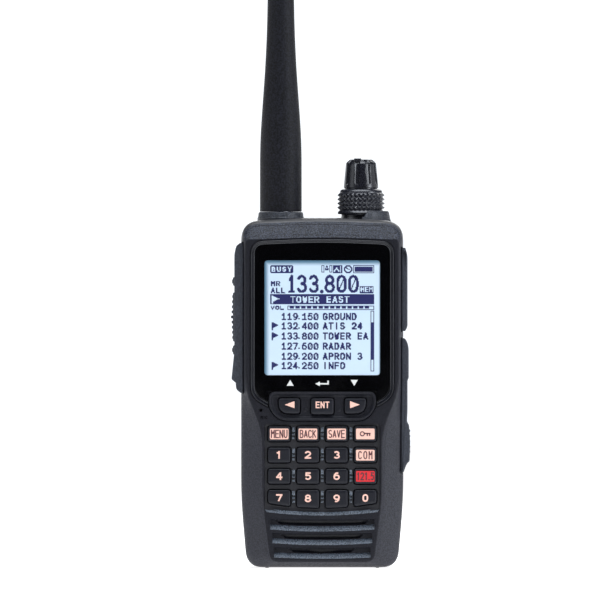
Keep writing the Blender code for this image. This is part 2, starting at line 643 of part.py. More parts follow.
def make_battery():
    form = both_sides([(28.4, 0, 5), (30.5, 26, 9), (30.5, BATTERY_TOP_Z, 1)])
    inner = both_sides([(26.0, 2.4, 5), (28.1, 26, 9), (28.1, BATTERY_TOP_Z, 1)])
    case = loft("battery_case", [(rounded(form), BATTERY_CASE_Y[0]), (rounded(form), BATTERY_CASE_Y[1] - 3),
                                 (rounded(inner), BATTERY_CASE_Y[1])])
    cell_z = (5.0, 79.0)
    cut(case, box("cell_bay", (-27.0, 7, cell_z[0] - 0.6), (27.0, 15.8, cell_z[1] + 0.6)),
        box("latch_way", (-6.5, 14.8, 82.5), (6.5, 16.4, 94.3)),
        box("latch_opening", (-5.2, 16, 83.5), (5.2, 20, 93.3)),
        box("tongue_way", (-3.4, 14.8, 90), (3.4, 16.4, 98)))
    lid = plate("battery_lid", rounded(form), *BATTERY_LID_Y)
    cut(lid, rail("left_groove", -19, 0.3, 20, 98), rail("right_groove", 19, 0.3, 20, 98))
    cell = round_edges(box("battery_cell", (-26.4, 8.5, cell_z[0]), (26.4, 15.5, cell_z[1])), 2.0, 2)
    latch = box("battery_latch", (-6.0, 15.1, 85.4), (6.0, 16.1, 94.0))
    join(latch, box("latch_tongue", (-3.0, 15.1, 93), (3.0, 16.1, BLOCK_LOW_Z + 1.4)),
         box("latch_thumb_pad", (-4.8, 15.6, 86.4), (4.8, 17.7, 93.0)))
    for i in range(3):
        z = 87.6 + 2 * i
        join(latch, box(f"latch_rib_{i}", (-4.0, 17.2, z), (4.0, 18.3, z + 0.8)))
    pivot(case, 0, BATTERY_CASE_Y[0], 0)
    pivot(latch, 0, BATTERY_CASE_Y[1], 90)
    finish("dark_plastic", case, lid, latch)
    finish("cell_wrap", cell)


def make_belt_clip():
    ear = [(BLOCK_BACK_Y + GAP, 116, 0), (CLIP_PIN_Y + 2.0, 116.5, 1.5), (CLIP_PIN_Y + 2.0, 125.0, 1.5),
           (BLOCK_BACK_Y + GAP, 126, 0)]
    inner_x, outer_x = CLIP_HALF_W + GAP, CLIP_HALF_W + GAP + 1.4
    bracket = box("clip_bracket", (-outer_x, BLOCK_BACK_Y + GAP, 104.5), (outer_x, BLOCK_BACK_Y + GAP + 1.5, 127.5))
    for side in (-1, 1):
        low, high = sorted((side * inner_x, side * outer_x))
        join(bracket, plate(f"bracket_ear_{side + 1}", rounded(ear, 2), low, high, "X"))
        cut(bracket, rod(f"bracket_screw_hole_{side + 1}", (side * 6.5, 110.0), 1.5, 15, 22, "Y", 12))
    cut(bracket, rod("bracket_pin_hole", (CLIP_PIN_Y, CLIP_PIN_Z), 1.08, -14, 14, "X", 16))
    outer_y, thick = 26.4, 1.6
    strip = [(outer_y - thick, 133.5, 0), (outer_y - thick, 64.0, 6), (19.6, 57.5, 1.5), (20.0, 50.0, 0),
             (21.4, 50.0, 0), (21.5, 56.8, 1.5), (outer_y, 62.5, 6), (outer_y, 134.5, 0)]
    clip = plate("belt_clip", rounded(strip, 3), -CLIP_HALF_W, CLIP_HALF_W, "X")
    for side in (-1, 1):
        low, high = sorted((side * 4.8, side * CLIP_HALF_W))
        knuckle = [(CLIP_PIN_Y - 2.0, CLIP_PIN_Z - 2.0, 1.2), (outer_y - 0.6, CLIP_PIN_Z - 3.4, 0),
                   (outer_y - 0.6, CLIP_PIN_Z + 3.4, 0), (CLIP_PIN_Y - 2.0, CLIP_PIN_Z + 2.0, 1.2)]
        join(clip, plate(f"clip_knuckle_{side + 1}", rounded(knuckle, 2), low, high, "X"))
    cut(clip, rod("clip_pin_hole", (CLIP_PIN_Y, CLIP_PIN_Z), 1.08, -14, 14, "X", 16))
    pivot(clip, 0, CLIP_PIN_Y, CLIP_PIN_Z)
    pin = rod("clip_pin", (CLIP_PIN_Y, CLIP_PIN_Z), 1.0, -outer_x - 0.6, outer_x + 0.6, "X", 16)
    spring = wire("clip_spring", helix((CLIP_PIN_Y, CLIP_PIN_Z), 1.6, -3.6, 3.6, 5, 10, "X"), 0.35, 1)
    for side, x in (("left", -6.5), ("right", 6.5)):
        head_y = BLOCK_BACK_Y + GAP + 1.5 + SLIM_GAP
        screw = rod(f"{side}_bracket_screw", (x, 110.0), 2.4, head_y, head_y + 1.2, "Y", 16)
        join(screw, rod(f"{side}_screw_shank", (x, 110.0), 1.2, 14.0, head_y + 0.5, "Y", 12))
        cut(screw, box(f"{side}_screw_slot", (x - 1.6, head_y + 0.6, 109.7), (x + 1.6, head_y + 3, 110.3)))
        finish("steel", screw)
    finish("steel", clip, bracket, pin, spring)


def smooth_round_pieces():
    """Shades every part smooth but for its sharp edges."""
    for obj in PARTS.objects:
        if obj.type == "MESH":
            obj.data.shade_smooth()
            obj.data.set_sharp_from_angle(angle=math.radians(30))


for leftover in list(bpy.data.objects):
    bpy.data.objects.remove(leftover)
PARTS = bpy.data.collections.new("aviation_radio")
CUTTERS = bpy.data.collections.new("cutters")
for group in (PARTS, CUTTERS):
    bpy.context.scene.collection.children.link(group)

make_front_case()
make_gasket()
make_rear_chassis()
make_top_panel()
make_window()
make_keys()
make_sound()
make_boards()
make_left_side()
make_right_side()
make_antenna()
make_knobs()
make_battery()
make_belt_clip()
smooth_round_pieces()
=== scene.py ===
"""Looks of the handheld aviation radio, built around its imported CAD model. Sizes here are in millimetres."""

import math

import bmesh
import bpy
import numpy as np
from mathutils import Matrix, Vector


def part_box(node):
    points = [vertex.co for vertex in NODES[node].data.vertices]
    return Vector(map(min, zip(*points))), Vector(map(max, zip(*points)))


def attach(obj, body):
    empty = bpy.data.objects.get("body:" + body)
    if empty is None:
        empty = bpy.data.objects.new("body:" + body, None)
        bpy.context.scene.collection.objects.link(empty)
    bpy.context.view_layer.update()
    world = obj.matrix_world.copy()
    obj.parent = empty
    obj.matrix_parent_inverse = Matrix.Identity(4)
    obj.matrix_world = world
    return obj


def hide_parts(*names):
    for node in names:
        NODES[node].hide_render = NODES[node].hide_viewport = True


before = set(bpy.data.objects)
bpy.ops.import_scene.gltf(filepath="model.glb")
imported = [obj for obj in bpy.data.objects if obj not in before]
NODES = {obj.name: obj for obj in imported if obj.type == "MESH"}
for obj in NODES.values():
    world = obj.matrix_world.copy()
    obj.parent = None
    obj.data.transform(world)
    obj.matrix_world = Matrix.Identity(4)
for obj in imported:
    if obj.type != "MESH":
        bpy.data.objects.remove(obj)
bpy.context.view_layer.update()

MM = 0.001
CASE = "radio_case"

# Places: x runs to the right as seen from the front, y towards the back and z up.
FRONT = -17.5
LENS_Y = -17.3
KEYPAD_Y = -16.7
POCKET_Y = -15.2
ANTENNA_AT = (-15.85, 1.0)
DIAL_AT = (14.9, 1.0)
MIC_AT = (-23.4, 60.4)
KEY_STEP_X, KEY_STEP_Z, TOP_ROW_Z = 10.95, 8.1, 51.4
KEY_NAMES = (("menu", "back", "save", "lock"), ("1", "2", "3", "com"), ("4", "5", "6", "distress"),
             ("7", "8", "9", "0"))
BUTTONS = (("ptt_button", 86.6, 105.4), ("lamp_button", 107.9, 111.3), ("monitor_button", 81.6, 85.2))
SCREW_Z, SCREWS_X = 110, (-6.5, 6.5)

# ---------------------------------------------------------------- outlines


def even(low, high, count):
    return [low + (high - low) * k / count for k in range(count + 1)]


def rounded(corners, steps=8, mid=0):
    """The outline through corners (u, v, reach), each rounded in steps, with mid points along each side."""
    arcs = []
    n = len(corners)
    for i, (u, v, reach) in enumerate(corners):
        here = Vector((u, v))
        if reach <= 0:
            arcs.append([here])
            continue
        a = here + (Vector(corners[i - 1][:2]) - here).normalized() * reach
        b = here + (Vector(corners[(i + 1) % n][:2]) - here).normalized() * reach
        arcs.append([a * (1 - t) ** 2 + here * 2 * t * (1 - t) + b * t * t for t in even(0, 1, steps)])
    points = []
    for i, arc in enumerate(arcs):
        onward = arcs[(i + 1) % n][0]
        points += arc + [arc[-1].lerp(onward, k / (mid + 1)) for k in range(1, mid + 1)]
    return points


def offset(corners, by):
    """Corners moved outwards by that distance, rounding kept concentric; the outline is anticlockwise."""
    moved = []
    n = len(corners)
    for i, (u, v, reach) in enumerate(corners):
        here = Vector((u, v))
        d1 = (here - Vector(corners[i - 1][:2])).normalized()
        d2 = (Vector(corners[(i + 1) % n][:2]) - here).normalized()
        n1, n2 = Vector((d1.y, -d1.x)), Vector((d2.y, -d2.x))
        shift = (n1 + n2) * (by / (1 + n1.dot(n2)))
        half_turn = math.tan(math.atan2(d1.x * d2.y - d1.y * d2.x, d1.dot(d2)) / 2)
        moved.append((u + shift.x, v + shift.y, max(0.05, reach + by * half_turn) if reach else 0))
    return moved


def both_sides(half):
    return half + [(-u, v, reach) for u, v, reach in reversed(half) if u > 0]


def rectangle(u, v, reach=0.0):
    return [(u[0], v[0], reach), (u[1], v[0], reach), (u[1], v[1], reach), (u[0], v[1], reach)]


RIM = both_sides([(28.8, 0.35, 6.2), (31, 26, 9), (31, 47, 5), (31, 69, 5), (31, 132.6, 7.5),
                  (0, 134.15, 14)])
PLATEAU = both_sides([(19.8, 2.6, 3), (22.9, 26, 9), (22.9, 52, 6), (29.3, 68, 6), (29.3, 126, 2.4),
                      (0, 127.1, 14)])
BEZEL = both_sides([(19.5, 60.9, 3.0), (27.35, 65.6, 4.4), (27.3, 124.9, 5), (0, 126.1, 14)])
NAV = both_sides([(16.6, 56.4, 3.4), (20.5, 61.3, 2.6), (20.5, 67.5, 2.8)])

# ---------------------------------------------------------------- mesh tools


def spot(axis, u, v, level):
    return Vector({"X": (level, u, v), "Y": (u, level, v), "Z": (u, v, level)}[axis]) * MM


def link(name, mesh):
    obj = bpy.data.objects.new(name, mesh)
    bpy.context.scene.collection.objects.link(obj)
    return obj


def from_bmesh(name, bm, outward=True):
    if outward:
        bmesh.ops.recalc_face_normals(bm, faces=bm.faces)
    mesh = bpy.data.meshes.new(name)
    bm.to_mesh(mesh)
    bm.free()
    return link(name, mesh)


def skin(bm, rings):
    for near, far in zip(rings, rings[1:]):
        for i in range(len(near)):
            bm.faces.new((near[i - 1], near[i], far[i], far[i - 1]))


def solid(name, rings, caps=True):
    """A solid through rings of equally many places, given in metres."""
    bm = bmesh.new()
    made = [[bm.verts.new(place) for place in ring] for ring in rings]
    skin(bm, made)
    if caps:
        bm.faces.new(made[0])
        bm.faces.new(made[-1])
    return from_bmesh(name, bm)


def loft(name, sections, axis="Y", caps=True):
    """A solid through outlines with equal point counts, given as (points, level)."""
    return solid(name, [[spot(axis, p[0], p[1], level) for p in points] for points, level in sections], caps)


def circle(centre, radius, sides):
    return [(centre[0] + radius * math.cos(a), centre[1] + radius * math.sin(a))
            for a in even(0, 2 * math.pi, sides)[:-1]]


def prism(name, points, low, high, axis="Y"):
    return loft(name, [(points, low), (points, high)], axis)


def pad(name, corners, back, front, edge=0.3, axis="Y", steps=6, crown=0.0, arc=4, back_edge=0.0):
    """A plate from back to front along an axis whose front rim is rounded by edge; crown lifts its middle."""
    way = 1 if front > back else -1
    sections = []
    if back_edge:
        sections.append((rounded(offset(corners, -back_edge), steps), back))
        sections.append((rounded(corners, steps), back + way * back_edge))
    else:
        sections.append((rounded(corners, steps), back))
    for k in range(arc + 1):
        a = math.pi / 2 * k / arc
        drawn_in, short = edge * (1 - math.cos(a)), edge * (1 - math.sin(a))
        sections.append((rounded(offset(corners, -drawn_in), steps), front - way * short))
    if crown:
        for k, share in ((1.4, 0.45), (2.3, 0.8)):
            inset = edge + k * crown * 4
            sections.append((rounded(offset(corners, -inset), steps), front + way * crown * share))
    return loft(name, sections, axis)


def pocket(corners, surface, floor, lip=0.25, steps=6, front=-19.5, arc=3, foot=0.0):
    """A cutter for a pocket sunk from the front surface, whose lip is rounded."""
    mouth = rounded(offset(corners, lip), steps)
    sections = [(mouth, front), (mouth, surface - 0.001)]
    for k in range(1, arc + 1):
        a = math.pi / 2 * k / arc
        wider = lip * (1 - math.sin(a))
        sections.append((rounded(offset(corners, wider), steps), surface + lip * (1 - math.cos(a))))
    if foot:
        sections.append((rounded(corners, steps), floor - foot))
        sections.append((rounded(offset(corners, -foot * 0.3), steps), floor - foot * 0.3))
        sections.append((rounded(offset(corners, -foot), steps), floor))
    else:
        sections.append((rounded(corners, steps), floor))
    return loft("pocket", sections)


def box(name, low, high):
    outline = [(low[0], low[1]), (high[0], low[1]), (high[0], high[1]), (low[0], high[1])]
    return prism(name, outline, low[2], high[2], "Z")


def rod(name, centre, radius, low, high, axis="Y", sides=32):
    return prism(name, circle(centre, radius, sides), low, high, axis)


def turned(name, centre, profile, sides=64, axis="Z", radius_at=None):
    """A turned piece through (radius, level) points; radius_at(angle, radius, level) may change a radius."""
    bm = bmesh.new()
    rings = []
    for radius, level in profile:
        if radius == 0:
            rings.append([bm.verts.new(spot(axis, centre[0], centre[1], level))])
            continue
        ring = []
        for a in even(0, 2 * math.pi, sides)[:-1]:
            r = radius_at(a, radius, level) if radius_at else radius
            ring.append(bm.verts.new(spot(axis, centre[0] + r * math.cos(a), centre[1] + r * math.sin(a),
                                          level)))
        rings.append(ring)
    for near, far in zip(rings, rings[1:]):
        for k in range(sides):
            after = k + 1
            face = [near[k % len(near)], near[after % len(near)], far[after % len(far)], far[k % len(far)]]
            face = list(dict.fromkeys(face))
            if len(face) > 2:
                bm.faces.new(face)
    return from_bmesh(name, bm)


def freeze(obj):
    """Applies the object's modifiers to its mesh."""
    graph = bpy.context.evaluated_depsgraph_get()
    final = obj.evaluated_get(graph)
    made = bpy.data.meshes.new_from_object(final, preserve_all_data_layers=True, depsgraph=graph)
    obj.modifiers.clear()
    old, obj.data = obj.data, made
    if old.users == 0:
        bpy.data.meshes.remove(old)
    return obj


def weld(obj):
    """Welds coincident points and turns the faces outwards."""
    bm = bmesh.new()
    bm.from_mesh(obj.data)
    bmesh.ops.remove_doubles(bm, verts=bm.verts, dist=1e-7)
    bmesh.ops.recalc_face_normals(bm, faces=bm.faces)
    bm.to_mesh(obj.data)
    bm.free()


def carve(obj, cutters):
    """Cuts the cutters out of the object and removes them."""
    for cutter in cutters:
        modifier = obj.modifiers.new("carve", "BOOLEAN")
        modifier.operation = "DIFFERENCE"
        modifier.solver = "EXACT"
        modifier.object = cutter
    freeze(obj)
    for cutter in cutters:
        bpy.data.objects.remove(cutter)
    return obj


def merged(name, *objs):
    """One object holding the meshes of several, with their materials."""
    bm = bmesh.new()
    slots = []
    for obj in objs:
        part = bmesh.new()
        part.from_mesh(obj.data)
        for face in part.faces:
            material = obj.data.materials[face.material_index] if obj.data.materials else None
            if material not in slots:
                slots.append(material)
            face.material_index = slots.index(material)
        temp = bpy.data.meshes.new("part")
        part.to_mesh(temp)
        part.free()
        bm.from_mesh(temp)
        bpy.data.meshes.remove(temp)
    for obj in objs:
        bpy.data.objects.remove(obj)
    made = from_bmesh(name, bm, outward=False)
    for material in slots:
        if material:
            made.data.materials.append(material)
    return made


def paint(obj, *materials):
    obj.data.materials.clear()
    for material in materials:
        obj.data.materials.append(material)
    return obj


def piece(obj, body, material=None, replaces=(), angle=34):
    """Finishes a piece: material, shading, its CAD body, and the CAD nodes that it stands for."""
    if material:
        paint(obj, material)
    obj.data.shade_smooth()
    obj.data.set_sharp_from_angle(angle=math.radians(angle))
    obj.modifiers.new("weighted normals", "WEIGHTED_NORMAL").keep_sharp = True
    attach(obj, body)
    if replaces:
        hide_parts(*replaces)
    return obj


# ---------------------------------------------------------------- materials


def feed(tree, node, inputs):
    """Fills a node's inputs: an output of another node becomes a link, and anything else a value."""
    for socket, value in inputs.items():
        if isinstance(value, bpy.types.NodeSocket):
            tree.links.new(value, node.inputs[socket])
        else:
            node.inputs[socket].default_value = value
    return node


def add_node(tree, kind, inputs, **settings):
    node = tree.nodes.new("ShaderNode" + kind)
    for name, value in settings.items():
        setattr(node, name, value)
    return feed(tree, node, inputs)


def remap(tree, value, start, end, low=0.0, high=1.0, kind="SMOOTHSTEP"):
    inputs = {"Value": value, "From Min": start, "From Max": end, "To Min": low, "To Max": high}
    return add_node(tree, "MapRange", inputs, interpolation_type=kind).outputs["Result"]


def combine(tree, operation, a, b):
    return add_node(tree, "Math", {0: a, 1: b}, operation=operation).outputs[0]


def mixed(tree, share, first, second):
    return add_node(tree, "Mix", {"A": first, "B": second, "Factor": share},
                    data_type="RGBA").outputs["Result"]


def place_axes(tree, kind="Object"):
    where = add_node(tree, "TexCoord", {}).outputs[kind]
    return add_node(tree, "SeparateXYZ", {0: where}).outputs


def finish(name, colour, roughness, metallic=0.0, grain=(), bump=0.0, vary=0.0, rough_vary=0.0, coat=0.0,
           smudge=0.0, specular=0.5, emission=0.0, streak=None):
    """A moulded or metal finish: grain sizes in millimetres drive bump, colour and roughness variation."""
    made = bpy.data.materials.new(name)
    made.use_nodes = True
    tree = made.node_tree
    shader = tree.nodes["Principled BSDF"]
    feed(tree, shader, {"Base Color": (*colour, 1), "Roughness": roughness, "Metallic": metallic,
                        "Coat Weight": coat,
                        "Coat Roughness": 0.04, "Specular IOR Level": specular})
    if emission:
        feed(tree, shader, {"Emission Color": (*colour, 1), "Emission Strength": emission})
    source = add_node(tree, "TexCoord", {}).outputs["Object"]
    if streak:
        source = add_node(tree, "Mapping", {"Scale": streak, "Vector": source}).outputs["Vector"]

    def noise(size, detail=2.0):
        return add_node(tree, "TexNoise",
                        {"Scale": 1 / (size * MM), "Detail": detail, "Vector": source}).outputs["Fac"]

    def spread(value, low, high):
        """Stretches the middle of a noise's range, where nearly all of it lies, over low to high."""
        return remap(tree, value, 0.38, 0.62, low, high, "LINEAR")

    grains = [noise(size) for size in grain]
    if bump and grains:
        height = combine(tree, "ADD", *grains) if len(grains) > 1 else grains[0]
        relief = add_node(tree, "Bump", {"Strength": 1.0, "Distance": bump * MM, "Height": height})
        feed(tree, shader, {"Normal": relief.outputs["Normal"]})
    if vary:
        darker = (*[c * (1 - vary) for c in colour], 1)
        lighter = (*[min(1, c * (1 + vary)) for c in colour], 1)
        share = spread(grains[0] if grains else noise(0.5), 0, 1)
        feed(tree, shader, {"Base Color": mixed(tree, share, darker, lighter)})
    if smudge:
        feed(tree, shader, {"Roughness": spread(noise(9.0, 4.0), roughness - smudge, roughness + smudge)})
    elif rough_vary:
        source_grain = grains[-1] if grains else noise(0.4)
        feed(tree, shader, {"Roughness": spread(source_grain, roughness - rough_vary,
                                                roughness + rough_vary)})
    return made


# Rim band: lighter than the case charcoal, a painted highlight for the sheen on its rounding; its lower
# roughness is its smoother finish.
RIM_HIGHLIGHT = finish("case_rim_painted_highlight", (0.078, 0.076, 0.077), 0.36, grain=(0.5, 1.5), bump=0.006, vary=0.06,
                    rough_vary=0.05)
CHARCOAL = finish("case_charcoal", (0.022, 0.0225, 0.031), 0.52, grain=(0.45, 0.9), bump=0.075, vary=0.4,
                  rough_vary=0.08,
                  specular=0.4)
# Darker than the case charcoal: painted shade for the flat front, which faces away from the bright
# surroundings; also used on the nav surround.
PANEL_SHADE = finish("panel_painted_shade", (0.0085, 0.0088, 0.0135), 0.5, grain=(0.45, 0.8), bump=0.05, vary=0.35,
               rough_vary=0.08, specular=0.24)
# Much lighter and bluer than the case: a painted highlight for the upward-facing grille ledges and the keypad
# ribs; their grain and bump are real.
LEDGE_PAINTED_HIGHLIGHT = finish("ledge_grain_painted_highlight", (0.074, 0.094, 0.124), 0.4, grain=(0.42, 0.25), bump=0.12, vary=0.75,
                 rough_vary=0.2,
                 specular=0.7)
FOREHEAD = finish("brow_grain", (0.027, 0.031, 0.045), 0.42, grain=(0.42, 0.26), bump=0.2, vary=1.0,
                  rough_vary=0.22,
                  specular=0.55)
# Near-black painted shade for holes, recesses and seams.
WELL_SHADE = finish("well_painted_shade", (0.008, 0.008, 0.012), 0.5, grain=(0.35,), bump=0.01, vary=0.1)
GLOSS = finish("gloss_black", (0.0009, 0.0009, 0.0014), 0.05, smudge=0.02, grain=(0.5,), specular=0.5,
               vary=0.2)
BEZEL_BLACK = finish("bezel_satin", (0.010, 0.0105, 0.015), 0.2, grain=(0.3,), bump=0.003, vary=0.1,
                     rough_vary=0.05, specular=0.55)
KEY = finish("key_rubber", (0.0068, 0.0074, 0.0125), 0.42, grain=(0.22, 1.2), bump=0.008, vary=0.1,
             rough_vary=0.06, specular=0.32)
# The salmon and red prints glow a little: a painted glow on real print colours.
SALMON_GLOW = finish("salmon_print_painted_glow", (0.92, 0.56, 0.46), 0.5, grain=(0.2,), vary=0.03, emission=0.06)
PLUM = finish("plum_print", (0.10, 0.028, 0.035), 0.5, grain=(0.2,), vary=0.1)
RED_GLOW = finish("red_print_painted_glow", (0.70, 0.020, 0.028), 0.45, grain=(0.2,), vary=0.05, emission=0.06)
WHITE = finish("white_print", (0.80, 0.81, 0.78), 0.5, grain=(0.2,), vary=0.03)
NAVY = finish("display_navy", (0.014, 0.017, 0.105), 0.35, grain=(0.3,), vary=0.08)
RUBBER = finish("side_rubber", (0.027, 0.031, 0.043), 0.55, grain=(0.5, 0.25), bump=0.07, vary=0.3,
                rough_vary=0.1)
ANTENNA = finish("antenna_rubber", (0.0058, 0.006, 0.0095), 0.55, grain=(0.6, 0.3), bump=0.06, vary=0.8,
                 rough_vary=0.12,
                 specular=0.24)
KNOB = finish("knob_satin", (0.016, 0.017, 0.025), 0.27, grain=(0.25,), bump=0.005, vary=0.1,
              rough_vary=0.05, specular=0.95)
DIAL = finish("dial_satin", (0.008, 0.0083, 0.013), 0.25, grain=(0.3,), bump=0.003, vary=0.1,
              rough_vary=0.05, specular=0.85)
BACK = finish("back_shell", (0.026, 0.026, 0.033), 0.52, grain=(0.5, 0.25), bump=0.05, vary=0.12,
              rough_vary=0.08)
STEEL = finish("plated_steel", (0.58, 0.58, 0.60), 0.28, 1.0, grain=(0.15,), bump=0.003, rough_vary=0.08,
               streak=(1, 1, 0.06))
CLIP = finish("clip_black_oxide", (0.045, 0.045, 0.05), 0.35, 0.6, grain=(0.2, 0.8), bump=0.006, vary=0.15,
              rough_vary=0.08)
BRASS = finish("brass_wire", (0.70, 0.50, 0.22), 0.25, 1.0, grain=(0.3,), bump=0.004, rough_vary=0.06)
BOARD = finish("solder_mask", (0.012, 0.10, 0.04), 0.35, grain=(1.2, 0.3), bump=0.01, vary=0.25)
WRAP = finish("cell_wrap", (0.03, 0.09, 0.30), 0.3, grain=(2.5, 0.6), bump=0.03, vary=0.08, rough_vary=0.05)
PAPER = finish("pressed_paper", (0.03, 0.03, 0.03), 0.85, grain=(0.4, 0.1), bump=0.05, vary=0.3)
BOSS = finish("boss_grain", (0.027, 0.031, 0.042), 0.42, grain=(0.5, 0.3), bump=0.1, vary=0.6,
              rough_vary=0.18,
              specular=0.7)
CERAMIC = finish("raw_ceramic", (0.62, 0.57, 0.48), 0.6, grain=(0.3,), bump=0.01, vary=0.06)
NODE_FINISH = {
    "case_gasket": RUBBER, "keypad_membrane": RUBBER, "speaker_frame": CLIP, "speaker_cone": PAPER,
    "microphone": PAPER,
    "main_board": BOARD, "rf_shield": STEEL, "gps_patch_antenna": CERAMIC, "headset_jack": BACK,
    "charging_jack": BACK,
    "antenna_jack": STEEL, "antenna_coupling": STEEL, "antenna_element": BRASS, "encoder_body": BACK,
    "dial_shaft": STEEL,
    "battery_cell": WRAP, "clip_pin": STEEL, "clip_spring": STEEL, "battery_lid": BACK,
    "left_bracket_screw": STEEL, "right_bracket_screw": STEEL, "lcd_module": BACK,
}
for node, material in NODE_FINISH.items():
    paint(NODES[node], material)

# ---------------------------------------------------------------- front case

PART_Y = 1.0


def bend(p0, p1, p2, steps):
    return [tuple((1 - t) ** 2 * a + 2 * t * (1 - t) * b + t * t * c for a, b, c in zip(p0, p1, p2))
            for t in even(0, 1, steps)]


def case_ring(corners):
    return rounded(corners, 10, 7)


def case_form():
    """The case front: straight sides, smooth rim, creased slope at the top, soft flanks, flat plateau."""
    side_end, slope_start, slope_rise = -11.3, -13.3, 3.95
    widest_crease, ridge_share, ridge_height = 2.3, 0.04, 0.16
    rim, plateau = case_ring(RIM), case_ring(PLATEAU)
    spans = [(b - a).length for a, b in zip(rim, plateau)]
    creases = [min(widest_crease, 0.6 * span) for span in spans]
    rings = [[(p.x, PART_Y, p.y) for p in case_ring(offset(RIM, -0.25))]]
    rings += [[(p.x, y, p.y) for p in rim] for y in (PART_Y - 0.25, -5, -10.9)]

    def on_slope(i, inset, lift=0.0):
        """A point of the slope at that distance from the rim; lift raises it towards the front."""
        return rim[i].lerp(plateau[i], inset / spans[i]), slope_start - slope_rise * inset / spans[i] - lift

    for t in even(0, 1, 8):
        ring = []
        for i, crease in enumerate(creases):
            end_y = on_slope(i, crease)[1]
            y = (1 - t) ** 2 * side_end + 2 * t * (1 - t) * slope_start + t * t * end_y
            place = rim[i].lerp(plateau[i], t * t * crease / spans[i])
            ring.append((place.x, y, place.y))
        rings.append(ring)
    for share in (ridge_share, 0.3, 0.6, 0.86):
        ring = []
        for i, crease in enumerate(creases):
            at_top = max(0.0, min(1.0, (rim[i].y - 126) / 4))
            lift = -ridge_height * at_top if share == ridge_share else 0
            place, y = on_slope(i, crease + (spans[i] - crease) * share, lift)
            ring.append((place.x, y, place.y))
        rings.append(ring)
    for inset, y in bend((-0.14, -16.9), (0, FRONT), (0.7, FRONT), 6):
        if inset <= 0:
            rings.append([(p.x, y, p.y) for p in (a.lerp(b, 1 + inset) for a, b in zip(rim, plateau))])
        else:
            rings.append([(p.x, y, p.y) for p in case_ring(offset(PLATEAU, -inset))])
    return solid("front_shell", [[Vector(p) * MM for p in ring] for ring in rings])


def groove_curve(half_w, middle, sag):
    def height(x):
        return middle + sag * (x / half_w) ** 2
    return height


def sweep(stations, profile):
    """A cutter along X: profile(x) gives its (y, z) section at each station."""
    return loft("sweep", [(profile(x), x) for x in stations], "X")


GROOVES = (
    # half width, ledge z, top z, sags, scoop half width, slot half width
    (19.9, 14.3, 18.7, 0.75, 0.25, 18.2, 15.6),
    (19.1, 9.1, 13.3, 0.75, 0.2, 16.1, 13.9),
    (18.4, 3.9, 7.95, 0.45, 0.1, 12.9, 6.0),
)


def groove_cutters(half_w, low, high, sag, top_sag, scoop_w, slot_w):
    """One groove's bed above its ledge, the scoop that deepens it, and the slot through to the speaker."""
    ledge, top = groove_curve(half_w, low, sag), groove_curve(half_w, high, top_sag)

    def bed(x):
        zb, zt = ledge(x), top(x)
        return [(-18.4, zb - 0.3), (FRONT, zb - 0.12), (-17.38, zb + 0.02), (-15.7, zb + 1.75),
                (-15.7, zt - 0.3),
                (-16.0, zt), (-17.35, zt), (FRONT, zt + 0.12), (-18.4, zt + 0.3)]

    def scoop(x):
        depth = min(1.0, max(0.0, (scoop_w - abs(x)) / 2.2))
        depth = depth * depth * (3 - 2 * depth)
        roof = top(x) - 0.18
        lip = ledge(x) + 1.25 + (roof - 0.5 - ledge(x) - 1.25) * (1 - depth)
        back, rise = -15.6 + 1.3 * depth, roof - lip
        return [(-17.3, lip), (-16.2, lip), (-16.0 + 0.2 * depth, lip + 0.25 * rise),
                (back, lip + 0.65 * rise),
                (back, roof - 0.1 * rise), (back, roof), (-17.3, roof)]

    def slot(x):
        if slot_w > 10:
            roof, floor = top(x) - 0.55, top(x) - 1.5 + 0.3 * (abs(x) > slot_w - 1)
        else:
            roof, floor = top(x) - 0.8, top(x) - 0.85 - 1.05 * (1 - (x / slot_w) ** 2)
        return [(-16.8, floor), (-12, floor), (-12, roof), (-16.8, roof)]

    stations = even(-scoop_w + 0.25, -scoop_w + 1.8, 5) + even(-scoop_w + 3, scoop_w - 3, 20)
    stations += even(scoop_w - 1.8, scoop_w - 0.25, 5)
    return [sweep(even(-half_w, half_w, 30), bed),
            sweep([-scoop_w + 0.02] + stations + [scoop_w - 0.02], scoop),
            sweep(even(-slot_w, slot_w, 24), slot)]


def chin_cutter():
    """The step between the keypad and the grille."""
    half_w = 21.3
    ledge = groove_curve(half_w, 20.35, 1.35)

    def step(x):
        z = ledge(x)
        return [(-18.4, z - 0.3), (FRONT, z - 0.1), (-17.4, z), (-16.6, z + 1.2), (-16.6, z + 2.6),
                (-18.4, z + 2.6)]
    return sweep(even(-half_w, half_w, 30), step)


def grille_cutters():
    return [cutter for groove in GROOVES for cutter in groove_cutters(*groove)] + [chin_cutter()]


def key_centre(column, row):
    return (column - 1.5) * KEY_STEP_X, TOP_ROW_Z - row * KEY_STEP_Z


def pad_bottom_z(x):
    return 23.0 + 2.0 * (x / 21.0) ** 2


def key_corners(column, row):
    x, z = key_centre(column, row)
    left, right = x - 4.3, x + 4.3
    low = [z - 2.9] * 2 if row < 3 else [pad_bottom_z(left), pad_bottom_z(right)]
    return [(left, low[0], 1.05), (right, low[1], 1.05), (right, z + 2.9, 1.05), (left, z + 2.9, 1.05)]


def nav_key_corners(index):
    if index == 1:
        return rectangle((-4.4, 4.4), (58.8, 65.0), 1.1)
    side = [(8.5, 59.1, 1.1), (16.6, 59.1, 4.0), (16.8, 65.0, 1.1), (8.5, 65.0, 1.1)]
    return side if index == 2 else [(-u, v, reach) for u, v, reach in reversed(side)]


def inside(outline, u, v):
    found = False
    for (au, av), (bu, bv) in zip(outline, outline[1:] + outline[:1]):
        if (av > v) != (bv > v) and u < (bu - au) * (v - av) / (bv - av) + au:
            found = not found
    return found


KEYPAD_BED = [(-22.0, 22.3, 1), (0, 21.4, 10), (22.0, 22.3, 1), (22.0, 55.1, 1.4), (-22.0, 55.1, 1.4)]


